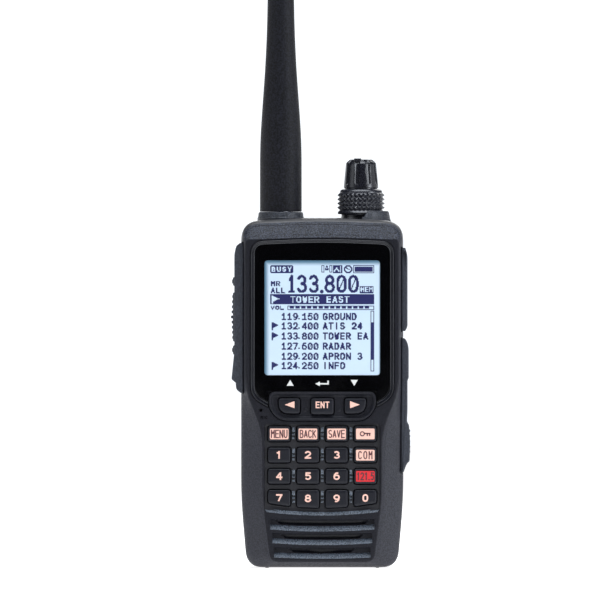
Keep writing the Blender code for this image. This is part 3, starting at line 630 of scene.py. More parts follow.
def case_cutters():
    cutters = [
        loft("cavity", [(rounded(offset(PLATEAU, -2), 4, 2), -13.8), (rounded(offset(RIM, -2), 4, 2), -11),
                        (rounded(offset(RIM, -2), 4, 2), 6)]),
        pocket(offset(BEZEL, 0.12), FRONT, POCKET_Y, 0.3, 8),
        pocket(offset(NAV, 0.12), FRONT, POCKET_Y, 0.3, 8),
        box("window", (-22.8, -19, 71.6), (22.8, -12, 119.6)),
        pocket(KEYPAD_BED, FRONT, -16.7, 0.4, 6, foot=0.25),
        rod("mic", MIC_AT, 0.6, -19, -12, "Y", 20),
        box("left", (-34, -16.2, 66.7), (-30, -0.5, 124.7)),
        box("right_upper", (30, -15.5, 90.3), (34, -0.5, 122.8)),
        box("right_lower", (30, -15.5, 36.2), (34, -0.5, 88.2)),
        box("headset", (27, -11.2, 98.8), (34, -4.8, 115.2)),
        box("charging", (27, -11.2, 42.8), (34, -4.8, 73.2)),
        box("notch", (-26.5, -11.3, 130.4), (26.5, 6, 150)),
    ]
    for row in range(4):
        for column in range(4):
            cutters.append(pocket(offset(key_corners(column, row), 0.28), KEYPAD_Y, -12, 0.2, 4, -18, 2))
    for index in range(3):
        cutters.append(prism("nav", rounded(offset(nav_key_corners(index), 0.25), 3), -19, -12))
    return cutters + grille_cutters()


def paint_case(case):
    """Gives each face of the case the material of its region: painted highlight on the rim band and the upward
    grille ledges, painted shade on the plateau, in the keypad bed and in the mic hole.
    """
    charcoal, panel, ledge_highlight, well, forehead, smooth = range(6)
    paint(case, CHARCOAL, PANEL_SHADE, LEDGE_PAINTED_HIGHLIGHT, WELL_SHADE, FOREHEAD, RIM_HIGHLIGHT)
    plateau = rounded(offset(PLATEAU, 0.1), 4)
    keypad = rounded(offset(KEYPAD_BED, 0.3), 4)
    for face in case.data.polygons:
        x, y, z = face.center / MM
        n = face.normal
        # The mic hole's walls: near-black as painted shade.
        if math.hypot(x - MIC_AT[0], z - MIC_AT[1]) < 0.61 and y > FRONT:
            face.material_index = well
        elif z > 125.7 and y < -13.9 and n.y < -0.3 and n.z > 0.25:
            face.material_index = forehead
        # The rim band's faces get the painted highlight colour.
        elif z > 112 and -14.2 < y < -11.0 and n.y < -0.12 and (abs(x) > 28.2 or z > 131):
            face.material_index = smooth
        elif y < -12.2 and abs(x) < 29.5 and inside(plateau, x, z):
            # Upward-facing grille ledges: lighter colour as painted highlight.
            if z < 22.5 and n.z > 0.45 and n.y < -0.2 and y < -15.6:
                face.material_index = ledge_highlight
            # The keypad bed: near-black as painted shade in the recess.
            elif inside(keypad, x, z) and y > -17.2:
                face.material_index = well
            # The rest of the plateau: darker colour as painted shade.
            else:
                face.material_index = panel


def make_front_case():
    case = carve(case_form(), case_cutters())
    paint_case(case)
    profile = [(0, 0.02), (0.55, 0.02), (0.8, 0.2), (0.85, 0.6), (0, 0.6)]
    feet = [paint(turned("foot", (side * 21.1, -7.0), profile, 16), CHARCOAL) for side in (-1, 1)]
    piece(merged("front_shell_fine", case, *feet), CASE, replaces=["front_case"])


def make_seam_lip():
    """A near-black strip inside the seam between the case's halves, which keeps light from showing through;
    its colour is painted shade.
    """
    lip = prism("case_seam_lip", rounded(offset(RIM, -0.9), 8, 3), 0.4, 2.6)
    carve(lip, [prism("hollow", rounded(offset(RIM, -1.9), 8, 3), -1, 4),
                box("notch", (-26.6, -1, 130.3), (26.6, 4, 150)),
                box("left_gap", (-34, -1, 66.7), (-30, -0.5, 124.7))])
    piece(lip, CASE, WELL_SHADE)


def make_speaker_cloth():
    # A near-black cloth and felt behind the grille slots, painted as the shade inside the case.
    cloth = [box("strand", (-17.5, -13.9, z - 0.16), (17.5, -13.84, z + 0.16)) for z in even(5.6, 18.4, 26)]
    cloth += [box("strand", (x - 0.16, -13.86, 5.3), (x + 0.16, -13.8, 18.7)) for x in even(-17.2, 17.2, 68)]
    cloth.append(box("felt", (-17.5, -13.82, 5.3), (17.5, -13.76, 18.7)))
    piece(merged("speaker_cloth", *cloth), CASE, WELL_SHADE)


def make_keypad_ribs():
    """Three short steps in each gap between two keys of a row, in the ledges' painted-highlight colour."""
    back = -16.72
    ribs = []
    for row in range(4):
        for column in range(3):
            x, z = key_centre(column + 0.5, row)
            for top, height, proud in ((z + 2.5, 1.75, 1.0), (z + 0.35, 0.9, 0.65), (z - 1.2, 0.8, 0.45)):
                profile = [(back, top), (back, top - height), (back - proud * 0.8, top - height),
                           (back - proud, top - height + 0.2), (back - 0.12, top)]
                ribs.append(prism("rib", profile, x - 0.5, x + 0.5, "X"))
    piece(merged("keypad_ribs", *ribs), CASE, LEDGE_PAINTED_HIGHLIGHT)


def make_guard():
    """The wall beside the control knobs, which tapers off at both ends."""
    arc_from, arc_to = math.radians(-88), math.radians(12)
    rings = []
    for t in even(0, 1, 40):
        a = arc_from + (arc_to - arc_from) * t
        rise = math.sin(min(1.0, t / 0.16) * math.pi / 2)
        fall = math.sin(min(1.0, (1 - t) / 0.1) * math.pi / 2)
        top = 133.2 + 3.45 * rise * fall
        profile = [(9.55, 132.0), (9.6, top - 0.5), (9.75, top - 0.12), (10.05, top), (10.35, top - 0.05),
                   (10.7, top - 0.45), (11.1, 134.3), (11.3, 133.4), (11.9, 131.9)]
        rings.append([Vector((DIAL_AT[0] + r * math.cos(a), DIAL_AT[1] + r * math.sin(a), z)) * MM for r,
                      z in profile])
    return solid("guard", rings)


def make_top():
    """The top plate with the antenna's boss, the dial's seat and the guard beside it."""
    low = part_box("top_panel")[0] / MM
    boss_bore, seat_bore = 5.2, 3.8
    outline = both_sides([(26.2, 130.7, 0), (26.2, 132.75, 1.2), (0, 134.15, 14)])
    plate = pad("plate", outline, 14.6, low.y, 0.4, "Y", 6, 0, 3, 0.4)
    boss = turned("boss", ANTENNA_AT, [(boss_bore, 131), (9.0, 131), (8.95, 134.0), (8.75, 134.25),
                                       (8.6, 135.6),
                                       (8.35, 136.1), (8.0, 136.25), (5.4, 136.25), (boss_bore, 136.1),
                                       (boss_bore, 131)], 72)
    seat = turned("seat", DIAL_AT, [(seat_bore, 131), (7.75, 131), (7.7, 134.1), (7.58, 134.4),
                                    (7.55, 134.9),
                                    (7.4, 135.05), (seat_bore, 135.05), (seat_bore, 131)], 64)
    weld(boss)
    weld(seat)
    carve(plate, [rod("hole", ANTENNA_AT, boss_bore, 125, 140, "Z", 48),
                  rod("hole", DIAL_AT, seat_bore, 125, 140, "Z", 48)])
    parts = [paint(plate, CHARCOAL), paint(boss, BOSS), paint(seat, KNOB), paint(make_guard(), BOSS)]
    piece(merged("top_plate_fine", *parts), CASE, replaces=["top_panel"])


# ---------------------------------------------------------------- prints

PRINT_LIFT = 0.03
PRINT_DEPTH = 0.12


def flat_shape(name, outline, y):
    """A thin printed shape on a surface facing the front."""
    return prism(name, outline, y, y - PRINT_LIFT)


def thicken(bm, depth):
    """Turns flat faces into closed slabs that reach that far back."""
    made = bmesh.ops.extrude_face_region(bm, geom=bm.faces[:], use_keep_orig=True)["geom"]
    moved = [item for item in made if isinstance(item, bmesh.types.BMVert)]
    bmesh.ops.translate(bm, verts=moved, vec=(0, depth * MM, 0))
    bmesh.ops.recalc_face_normals(bm, faces=bm.faces)


def ring_shape(name, centre, radius, width, y):
    bm = bmesh.new()
    skin(bm, [[bm.verts.new(spot("Y", u, v, y - PRINT_LIFT)) for u, v in circle(centre, r, 28)]
              for r in (radius, radius - width)])
    thicken(bm, PRINT_DEPTH)
    return from_bmesh(name, bm)


# Centre lines of the generic lettering, in a unit box: straight runs, and arcs as (cx, cy, rx, ry, from, to)
# in degrees.
GLYPHS = {
    "0": [(0.5, 0.68, 0.5, 0.32, 0, 180), (0.5, 0.32, 0.5, 0.32, 180, 360), "join"],
    "1": [[(0.1, 0.76), (0.55, 0.98)], [(0.55, 1.0), (0.55, 0)]],
    "2": [(0.5, 0.7, 0.5, 0.3, 170, -28), [(0.0, 0.0), (1, 0)]],
    "3": [(0.48, 0.75, 0.44, 0.25, 155, -90), "cut", (0.5, 0.265, 0.5, 0.265, 90, -155)],
    "4": [[(0.74, 0), (0.74, 1)], [(0.66, 0.97), (0.0, 0.3)], [(0, 0.3), (1, 0.3)]],
    "5": [[(0.92, 1), (0.18, 1)], [(0.18, 1), (0.1, 0.5)], (0.5, 0.33, 0.5, 0.33, 142, -155)],
    "6": [(0.5, 0.32, 0.5, 0.32, 0, 360), "cut", (0.6, 0.36, 0.6, 0.64, 68, 182)],
    "7": [[(0, 1), (1, 1)], [(0.94, 0.97), (0.36, 0)]],
    "8": [(0.5, 0.755, 0.42, 0.245, 0, 360), "cut", (0.5, 0.265, 0.5, 0.265, 0, 360)],
    "9": [(0.5, 0.68, 0.5, 0.32, 0, 360), "cut", (0.4, 0.64, 0.6, 0.64, 248, 362)],
    ".": [[(0.32, 0.0), (0.62, 0.0)]],
    "A": [[(0, 0), (0.5, 1)], [(0.5, 1), (1, 0)], [(0.18, 0.32), (0.82, 0.32)]],
    "B": [[(0, 0), (0, 1)], [(0, 1), (0.55, 1)], (0.55, 0.76, 0.38, 0.24, 90, -90), [(0, 0.52), (0.6, 0.52)],
          (0.58, 0.26, 0.42, 0.26, 90, -90), [(0.6, 0), (0, 0)]],
    "C": [(0.5, 0.66, 0.5, 0.34, 20, 180), (0.5, 0.34, 0.5, 0.34, 180, 340)],
    "D": [[(0, 0), (0, 1)], [(0, 1), (0.45, 1)], (0.45, 0.5, 0.55, 0.5, 90, -90), [(0.45, 0), (0, 0)]],
    "E": [[(0, 0), (0, 1)], [(0, 1), (0.95, 1)], [(0, 0.52), (0.85, 0.52)], [(0, 0), (0.95, 0)]],
    "F": [[(0, 0), (0, 1)], [(0, 1), (0.95, 1)], [(0, 0.5), (0.85, 0.5)]],
    "G": [(0.5, 0.66, 0.5, 0.34, 25, 180), (0.5, 0.34, 0.5, 0.34, 180, 350), [(1, 0.3), (1, 0.46)],
          [(1, 0.46), (0.6, 0.46)]],
    "I": [[(0.5, 0), (0.5, 1)]],
    "K": [[(0, 0), (0, 1)], [(0.95, 1), (0.05, 0.42)], [(0.3, 0.6), (1, 0)]],
    "L": [[(0, 1), (0, 0)], [(0, 0), (0.95, 0)]],
    "M": [[(0, 0), (0, 1)], [(0, 1), (0.5, 0.5)], [(0.5, 0.5), (1, 1)], [(1, 1), (1, 0)]],
    "N": [[(0, 0), (0, 1)], [(0, 1), (1, 0)], [(1, 0), (1, 1)]],
    "O": [(0.5, 0.66, 0.5, 0.34, 0, 180), (0.5, 0.34, 0.5, 0.34, 180, 360), "join"],
    "P": [[(0, 0), (0, 1)], [(0, 1), (0.6, 1)], (0.6, 0.74, 0.4, 0.26, 90, -90), [(0.6, 0.48), (0, 0.48)]],
    "R": [[(0, 0), (0, 1)], [(0, 1), (0.6, 1)], (0.6, 0.74, 0.4, 0.26, 90, -90), [(0.6, 0.48), (0, 0.48)],
          [(0.5, 0.48), (1, 0)]],
    "S": [(0.5, 0.745, 0.46, 0.255, 25, 270), (0.5, 0.255, 0.5, 0.235, 90, -155)],
    "T": [[(0.5, 0), (0.5, 1)], [(0, 1), (1, 1)]],
    "U": [[(0, 1), (0, 0.35)], (0.5, 0.35, 0.5, 0.35, 180, 360), [(1, 0.35), (1, 1)]],
    "V": [[(0, 1), (0.5, 0)], [(0.5, 0), (1, 1)]],
    "W": [[(0, 1), (0.25, 0)], [(0.25, 0), (0.5, 0.7)], [(0.5, 0.7), (0.75, 0)], [(0.75, 0), (1, 1)]],
    "Y": [[(0, 1), (0.5, 0.48)], [(1, 1), (0.5, 0.48)], [(0.5, 0.5), (0.5, 0)]],
    " ": [],
}


def strokes(letter, steps=10):
    """The letter's centre lines as lists of points; arcs that follow one another are joined."""
    paths, run = [], []
    for item in GLYPHS[letter] + ["cut"]:
        if isinstance(item, tuple):
            cx, cy, rx, ry, start, end = item
            count = max(4, int(abs(end - start) / 180 * steps))
            turns = [math.radians(a) for a in even(start, end, count)]
            run += [(cx + rx * math.cos(a), cy + ry * math.sin(a)) for a in turns]
            continue
        if item == "join":
            run.append(run[0])
        elif isinstance(item, list) and run and item[0] == (0.0, 0.0):
            run.append((0.03, 0.05))
        if run:
            paths.append(run)
            run = []
        if isinstance(item, list):
            paths.append(item)
    return paths


def ribbon(bm, points, width, y, square=0.0):
    """A flat stroke facing the front along (x, z) points; square extends its open ends."""
    points = [Vector(p) for p in points]
    closed = (points[0] - points[-1]).length < 1e-6
    if closed:
        points = points[:-1]
    elif square:
        points[0] = points[0] + (points[0] - points[1]).normalized() * square
        points[-1] = points[-1] + (points[-1] - points[-2]).normalized() * square
    sides = []
    n = len(points)
    for i, p in enumerate(points):
        before = points[i - 1] if i or closed else p
        after = points[(i + 1) % n] if i < n - 1 or closed else p
        d = (after - before).normalized()
        normal = Vector((-d.y, d.x)) * width / 2
        sides.append([bm.verts.new(spot("Y", q.x, q.y, y)) for q in (p + normal, p - normal)])
    for i in range(n if closed else n - 1):
        a, b = sides[i], sides[(i + 1) % n]
        bm.faces.new((a[0], a[1], b[1], b[0]))


def lettering(name, words, x, z, y, wide, tall, pitch, width):
    """Words as flat strokes facing the front, centred on (x, z); wide and tall measure the centre lines."""
    bm = bmesh.new()
    narrow = {".": 0.55, "I": 0.55, "0": 0.86}
    across = [pitch * narrow.get(letter, 1) for letter in words]
    depth = y - 0.02
    left = x - (sum(across) - (pitch - wide)) / 2
    for letter, step in zip(words, across):
        width_here = wide - (pitch - step)
        for path in strokes(letter):
            upright = len(path) == 2 and (path[0][0] == path[1][0] or path[0][1] == path[1][1])
            ends = width / 2 if upright else 0
            ribbon(bm, [(left + u * width_here, z + (v - 0.5) * tall) for u, v in path], width, depth,
                   ends * 0.98)
            depth -= 0.0015
        left += step
    thicken(bm, PRINT_DEPTH)
    return from_bmesh(name, bm)


# ---------------------------------------------------------------- window


def bezel_ring(inset):
    return rounded(offset(BEZEL, -inset), 10)


def make_window():
    lens = pad("lens", offset(BEZEL, -1.6), -15.5, LENS_Y, 0.18, "Y", 10)
    carve(lens, [box("notch", (-20.75, -19, 58), (20.75, -14, 67.85)),
                 pocket(rectangle((-22.05, 22.05), (73.8, 117.6), 1.4), LENS_Y, -15.0, 0.06, 8)])
    piece(lens, CASE, GLOSS, ["display_lens"])
    profile = [(1.45, -15.5), (0, -15.5), (0, -17.7), (0.07, -17.84), (0.2, -17.9), (0.33, -17.84),
               (0.4, -17.72),
               (0.48, -17.5), (0.95, -17.44), (1.08, -17.58), (1.2, -17.66), (1.32, -17.62), (1.42, -17.5),
               (1.45, -17.3), (1.45, -15.5)]
    ring = loft("bezel", [(bezel_ring(inset), y) for inset, y in profile], caps=False)
    carve(ring, [box("gap", (-20.75, -19, 58), (20.75, -14, 69))])
    piece(ring, CASE, BEZEL_BLACK, ["window_bezel"])
    marks = [[(-13.6, 69.75), (-10.9, 69.75), (-12.25, 72.0)], [(10.85, 72.0), (12.2, 69.75), (13.55, 72.0)],
             [(-2.7, 70.5), (-0.9, 69.6), (-0.9, 70.25), (2.5, 70.25), (2.5, 71.75), (1.95, 71.75),
              (1.95, 70.78), (-0.9, 70.78), (-0.9, 71.4)]]
    piece(merged("window_marks", *[flat_shape("mark", outline, LENS_Y) for outline in marks]), CASE, WHITE)


SCREEN_LEFT, SCREEN_TOP, DOT = -22.1, 117.7, 0.2757


class Raster:
    """The display's picture: a grid of dots drawn with text, boxes and lines."""

    def __init__(self, columns, rows):
        self.on = np.zeros((rows, columns), bool)

    def fill(self, left, top, width, height, value=True):
        self.on[top:top + height, left:left + width] = value

    def frame(self, left, top, width, height):
        self.fill(left, top, width, height)
        self.fill(left + 1, top + 1, width - 2, height - 2, False)

    def stroke(self, points, width, value=True):
        rows, columns = self.on.shape
        v, u = np.mgrid[0:rows, 0:columns] + 0.5
        for (au, av), (bu, bv) in zip(points, points[1:]):
            du, dv = bu - au, bv - av
            t = np.clip(((u - au) * du + (v - av) * dv) / max(du * du + dv * dv, 1e-9), 0, 1)
            self.on[np.hypot(u - au - t * du, v - av - t * dv) <= width / 2] = value

    def text(self, left, top, words, wide=5, tall=8, pitch=8, width=2.45, value=True, slash=False):
        """Letters whose centre lines fill a box of wide by tall dots from its top left corner."""
        for letter in words:
            if letter == ".":
                side = int(width + 0.8)
                self.fill(int(left), int(top + tall - width / 2 + 0.5), side, side, value)
                left += pitch * 0.55
                continue
            paths = strokes(letter)
            if slash and letter == "0":
                paths = paths + [[(0.25, 0.2), (0.75, 0.8)]]
            for n, path in enumerate(paths):
                thin = slash and letter == "0" and n == len(paths) - 1
                self.stroke([(left + width / 2 + u * wide, top + width / 2 + (1 - v) * tall) for u,
                             v in path],
                            width * 0.55 if thin else width, value)
            if letter == "1":
                start, foot = left + width / 2, top + width / 2 + tall
                self.stroke([(start, foot), (start + wide * 0.95, foot)], width * 0.9, value)
            left += pitch


def draw_screen():
    """The radio's list screen, in display dots from the top left corner."""
    raster = Raster(160, 160)
    raster.fill(8, 7, 32, 11)
    for column, row in ((8, 7), (39, 7), (8, 17), (39, 17)):
        raster.on[row, column] = False
    raster.text(10, 9, "BUSY", 4, 5.6, 7.4, 1.5, False)
    raster.frame(79, 7, 4, 10)
    raster.frame(90, 7, 4, 10)
    raster.stroke([(84.5, 13), (86.5, 8), (88.5, 13), (84.5, 13)], 1.6)
    raster.fill(95, 7, 13, 11)
    raster.stroke([(97, 15), (100, 11), (103, 15)], 1.7, False)
    raster.stroke([(105.5, 9), (105.5, 16)], 1.4, False)
    raster.stroke([(116 + 5 * math.cos(a), 12.5 + 5 * math.sin(a)) for a in even(0, 2 * math.pi, 20)], 2.1)
    raster.stroke([(113.5, 10.5), (116, 12.5), (118, 12.5)], 1.6)
    raster.frame(123, 7, 29, 11)
    raster.fill(125, 9, 25, 7)
    raster.text(9, 28.5, "MR", 4.2, 6.2, 7, 1.7)
    raster.text(9, 38, "ALL", 4.2, 6.2, 7, 1.7)
    left = 33.0
    for letter in "133.800":
        if letter == ".":
            raster.stroke([(79.5, 43.4), (79.6, 43.4)], 5.2)
            left = 83.2
            continue
        raster.text(left, 20.3, letter, 5.6 if letter == "1" else 10.6, 21.3, 0, 3.9)
        if letter == "0":
            raster.stroke([(left + 4.6, 39.5), (left + 10, 26.5)], 1.5)
        left += 11.6 if letter == "1" else 16.4
    raster.fill(132, 36, 19, 10)
    raster.text(133.5, 37.2, "MEM", 3.6, 5.6, 5.8, 1.2, False)
    raster.fill(8, 47, 144, 14)
    raster.stroke([(11, 49.5), (11, 59.5)], 1.8, False)
    for row in range(9):
        raster.fill(11, 49 + row, int(10 - abs(row - 4) * 2.2), 1, False)
    raster.text(36, 49.5, "TOWER EAST", 5, 7.8, 8.3, 1.9, False)
    raster.text(8.5, 63.2, "VOL", 4.2, 3.8, 6.6, 1.6)
    raster.frame(32, 63, 120, 6)
    for n in range(14):
        raster.fill(35 + n * 8, 64, 6, 3)
    rows = (("119.150", "GROUND", 0), ("132.400", "ATIS 24", 1), ("133.800", "TOWER EA", 1),
            ("127.600", "RADAR", 0),
            ("129.200", "APRON 3", 0), ("124.250", "INFO", 1))
    for n, (frequency, note, flag) in enumerate(rows):
        top = round(72.8 + n * 13.7)
        raster.text(23.4, top, frequency, 5.1, 8.1, 8, 2.15, slash=True)
        raster.text(80.6, top, note, 4.9, 7.9, 8, 2.3)
        if flag:
            raster.fill(10, top, 2, 11)
            for row in range(8):
                raster.fill(10, top + row, int(9.5 - abs(row - 3.5) * 2.1) + 1, 1)
    raster.frame(147, 70, 5, 84)
    raster.fill(147, 86, 5, 52)
    return raster.on


def make_dots():
    """The dark dots of the display: each run of dots in a row is one bar."""
    bm = bmesh.new()
    for row, dots in enumerate(draw_screen()):
        edges = np.flatnonzero(np.diff(np.concatenate(([0], dots.astype(int), [0]))))
        for start, end in zip(edges[::2], edges[1::2]):
            left, right = SCREEN_LEFT + start * DOT, SCREEN_LEFT + end * DOT
            low, high = SCREEN_TOP - (row + 1) * DOT, SCREEN_TOP - row * DOT
            bm.faces.new([bm.verts.new(spot("Y", u, v, -17.13)) for u, v,
                          _ in rectangle((left, right), (low, high))])
    thicken(bm, 0.035)
    piece(from_bmesh("display_dots", bm), CASE, NAVY)


def make_screen():
    """The glass behind the dots, glowing as painted light, with painted shade darkening it towards its left,
    right and upper edges.
    """
    screen = pad("display_glass", rectangle((-22.3, 22.3), (73.55, 117.85), 0.6), -15.6, -17.1, 0.05, "Y", 4)
    # Emission makes the glass glow: painted light, as it is no lamp.
    glow = finish("display_painted_glow", (0.66, 0.79, 0.95), 0.3, emission=0.42, coat=0.4)
    tree = glow.node_tree
    axes = place_axes(tree)
    edge_shade = None
    # Painted shade: the edges next to the bezel are darkened.
    for axis, start, end in (("X", -19.9, -22.0), ("Z", 115.2, 117.4), ("X", 21.3, 22.4)):
        shade = remap(tree, axes[axis], start * MM, end * MM)
        edge_shade = combine(tree, "MAXIMUM", edge_shade, shade) if edge_shade else shade
    colour = mixed(tree, edge_shade, (0.46, 0.57, 0.68, 1), (0.06, 0.14, 0.21, 1))
    feed(tree, tree.nodes["Principled BSDF"], {"Base Color": colour, "Emission Color": colour})
    piece(screen, CASE, glow)


# ---------------------------------------------------------------- keys


def lock_sign(x, z, y):
    """A small key: its shaft, its two teeth and its bow."""
    bars = [flat_shape("bar", [(x + a, z + b), (x + c, z + b), (x + c, z + d), (x + a, z + d)], y)
            for a, b, c, d in ((-0.5, -0.05, 2.0, 0.42), (1.4, -0.8, 1.9, 0.1), (0.5, -0.8, 1.0, 0.1))]
    return bars + [ring_shape("bow", (x - 1.15, z + 0.05), 0.98, 0.42, y)]


def key_print(name, x, z, y):
    """The painted parts on top of a keypad key: a digit, or a label with a word or a sign on it."""
    if len(name) == 1:
        nudge = 0.15 if name == "1" else 0
        return [paint(lettering("digit", name, x - nudge, z + 0.1, y, 1.85, 2.35, 1.85, 0.6), SALMON_GLOW)]
    outline = rounded(rectangle((x - 3.55, x + 3.55), (z - 2.05, z + 2.05), 0.45), 4)
    label = paint(flat_shape("label", outline, y + PRINT_LIFT), RED_GLOW if name == "distress" else SALMON_GLOW)
    if name == "distress":
        signs = [lettering("number", "121.5", x, z, y, 0.95, 2.6, 1.5, 0.48)]
    elif name == "lock":
        signs = lock_sign(x, z, y)
    else:
        pitch = 1.62 if len(name) > 3 else 2.0
        signs = [lettering("word", name.upper(), x, z, y, 1.08, 2.75, pitch, 0.42)]
    return [label] + [paint(sign, PLUM) for sign in signs]


def make_keypad():
    top = -18.205
    for row, names in enumerate(KEY_NAMES):
        for column, name in enumerate(names):
            x, z = key_centre(column, row)
            if row == 3:
                z -= 0.25 + 0.15 * (column in (1, 2))
            cap = paint(pad("cap", key_corners(column, row), -13.0, -18.13, 0.62, "Y", 5, 0.07), KEY)
            piece(merged(f"key_{name}_fine", cap, *key_print(name, x, z, top)), f"key_{name}_body",
                  replaces=[f"key_{name}"])


def nav_ring(inset):
    return rounded(offset(NAV, -inset), 8)


def make_nav_surround():
    profile = [(0, -15.5), (0, -17.85), (0.1, -18.1), (0.3, -18.27), (0.55, -18.3), (0.8, -18.24),
               (1.0, -18.05),
               (1.2, -17.6), (1.5, -17.25), (2.0, -17.1)]
    surround = loft("surround", [(nav_ring(inset), y) for inset, y in profile])
    carve(surround, [pocket(offset(nav_key_corners(i), 0.28), -17.1, -15.0, 0.25, 4, -18.2, 2)
                     for i in range(3)])
    bump = [(0, -17.0), (0.75, -17.0), (0.7, -17.2), (0.45, -17.35), (0, -17.42)]
    bumps = [turned("bump", (x, 60.5), bump, 20, "Y") for x in (-6.3, 6.3)]
    # The nav surround takes the plateau's painted-shade colour.
    piece(merged("nav_surround_fine", surround, *bumps), CASE, PANEL_SHADE, ["nav_surround"])


def make_nav_keys():
    top = -18.335
    for side, name in ((-1, "left"), (0, "enter"), (1, "right")):
        cap = paint(pad("cap", nav_key_corners(side + 1), -13.0, -18.26, 0.62, "Y", 6, 0.07), KEY)
        if side:
            arrow = [(side * 14.3, 62.55), (side * 10.6, 63.9), (side * 10.6, 61.2)]
            sign = flat_shape("sign", arrow[::side], top)
        else:
            sign = lettering("enter", "ENT", 0.1, 62.5, top, 1.15, 2.1, 1.84, 0.44)
        piece(merged(f"nav_{name}_fine", cap, paint(sign, SALMON_GLOW)), f"nav_key_{name}_body",
              replaces=[f"nav_key_{name}"])


def make_mic_mark():
    mark = lettering("mic_mark", "MIC", -22.2, 57.7, FRONT - 0.004, 0.62, 0.95, 1.15, 0.24)
    piece(mark, CASE, GLOSS)


# ---------------------------------------------------------------- sides


def side_body(name, profile, y0, y1, edge=0.9):
    """A strip seen from the front as the (x, z) profile, with its two long edges rounded along y."""
    return pad(name, profile, y1, y0, edge, "Y", 3, 0, 4, edge)


def make_side_panel():
    profile = [(-30.2, 67.0, 0), (-30.2, 124.4, 0), (-31.3, 124.4, 0.5), (-32.9, 123.2, 0.8),
               (-33.6, 120.0, 1.2),
               (-33.6, 83.0, 1.0), (-34.7, 72.2, 0.5), (-33.1, 70.9, 0.3), (-32.9, 68.4, 0.8),
               (-31.3, 67.0, 0.5)]
    strip = side_body("strip", profile, -15.2, -0.8, 0.5)
    cutters = []
    for _, low, high in BUTTONS:
        span = (low - 0.3, high + 0.3)
        cutters.append(prism("hole", rounded(rectangle((-12.7, -3.3), span, 1.2), 4), -36, -28, "X"))
        cutters.append(prism("way", rounded(rectangle((-13.6, -2.4), span, 1.2), 4), -31.9, -28, "X"))
    cutters.append(loft("facet", [([(-15.25, low), (-12.9, 124.6), (-16.5, 124.6), (-16.5, low)], x)
                                  for x, low in ((-34.5, 118.2), (-30.0, 115.2))], "X"))
    carve(strip, cutters)
    ridges = [side_body("ridge", rectangle((-33.75, -33.0), (z - 0.28, z + 0.28), 0.2), -14.6, -13.4, 0.1)
              for z in even(74.5, 80.5, 4)]
    piece(merged("side_panel_fine", strip, *ridges), CASE, RUBBER, ["side_key_panel"], 40)


def make_side_buttons():
    """Three rubber buttons: ribs on the long one, the middle rib proudest, and a bump on each short one."""
    for name, low, high in BUTTONS:
        middle = (low + high) / 2
        parts = [pad("cap", rectangle((-12.4, -3.6), (low, high), 1.1), -31.1, -34.15, 0.55, "X", 5, 0.05)]
        if name == "ptt_button":
            for i in range(-4, 5):
                z = middle + i * 1.95
                reach = -34.88 if i == 0 else -34.72 + 0.07 * abs(i)
                parts.append(pad("rib", rectangle((-11.2, -4.8), (z - 0.55, z + 0.55), 0.45), -33.8, reach,
                                 0.3, "X", 3))
        else:
            bump = rectangle((-10.6, -5.4), (middle - 0.8, middle + 0.8), 0.75)
            parts.append(pad("bump", bump, -33.8, -34.5, 0.35, "X", 4))
        piece(merged(f"{name}_fine", *parts), f"{name}_body", RUBBER, [name])


def cover_body(profile, line_z):
    """A jack cover with two shallow lines on its face, and the cutters for them."""
    lines = [prism("line", rounded(rectangle((y - 0.3, y + 0.3), line_z, 0.25), 3), 32.2, 35, "X")
             for y in (-11.6, -4.4)]
    return side_body("cover", profile, -14.6, -1.4, 0.6), lines


def make_upper_cover():
    low, high = 90.6, 122.5
    profile = [(30.2, low, 0), (31.7, low, 0.3), (32.6, low + 1.6, 0.9), (32.6, high - 3.0, 1.4),
               (31.75, high, 0.4),
               (30.2, high, 0)]
    cover, lines = cover_body(profile, (96.0, 118.5))
    scoop = loft("scoop", [(rounded(rectangle((30.75, 32.0), (114.6, 121.3), 0.6), 5), -15.5),
                           (rounded(rectangle((30.75, 32.0), (115.0, 121.3), 0.6), 5), -14.55),
                           (rounded(rectangle((30.95, 31.8), (118.6, 121.0), 0.4), 5), -13.7)])
    carve(cover, [scoop] + lines)
    piece(merged("upper_jack_cover_fine", cover), "upper_cover", RUBBER, ["upper_jack_cover"],
          40)


def make_lower_cover():
    low, high = 36.5, 87.9
    profile = [(30.2, low, 0), (31.0, low, 0.3), (32.3, low + 3.4, 0.7), (33.4, low + 4.4, 0.6),
               (33.65, low + 12, 2),
               (33.2, low + 18.2, 0.7), (32.4, low + 19.6, 0.5), (32.6, low + 23.6, 1),
               (32.6, low + 35.2, 0.3),
               (33.05, low + 36.2, 0.4), (33.05, high - 3.2, 1.6), (32.2, high - 0.8, 0.7),
               (31.4, high, 0.2),
               (30.2, high, 0)]
    cover, lines = cover_body(profile, (43.0, 54.0))
    carve(cover, lines)
    grips = [pad("grip", rectangle((-10.6, -5.4), (z - 0.5, z + 0.5), 0.4), 32.8, 33.68, 0.3, "X", 3)
             for z in even(44.5, 52.5, 4)]
    piece(merged("lower_jack_cover_fine", cover, *grips), "lower_cover", RUBBER,
          ["lower_jack_cover"], 40)


# ---------------------------------------------------------------- top pieces


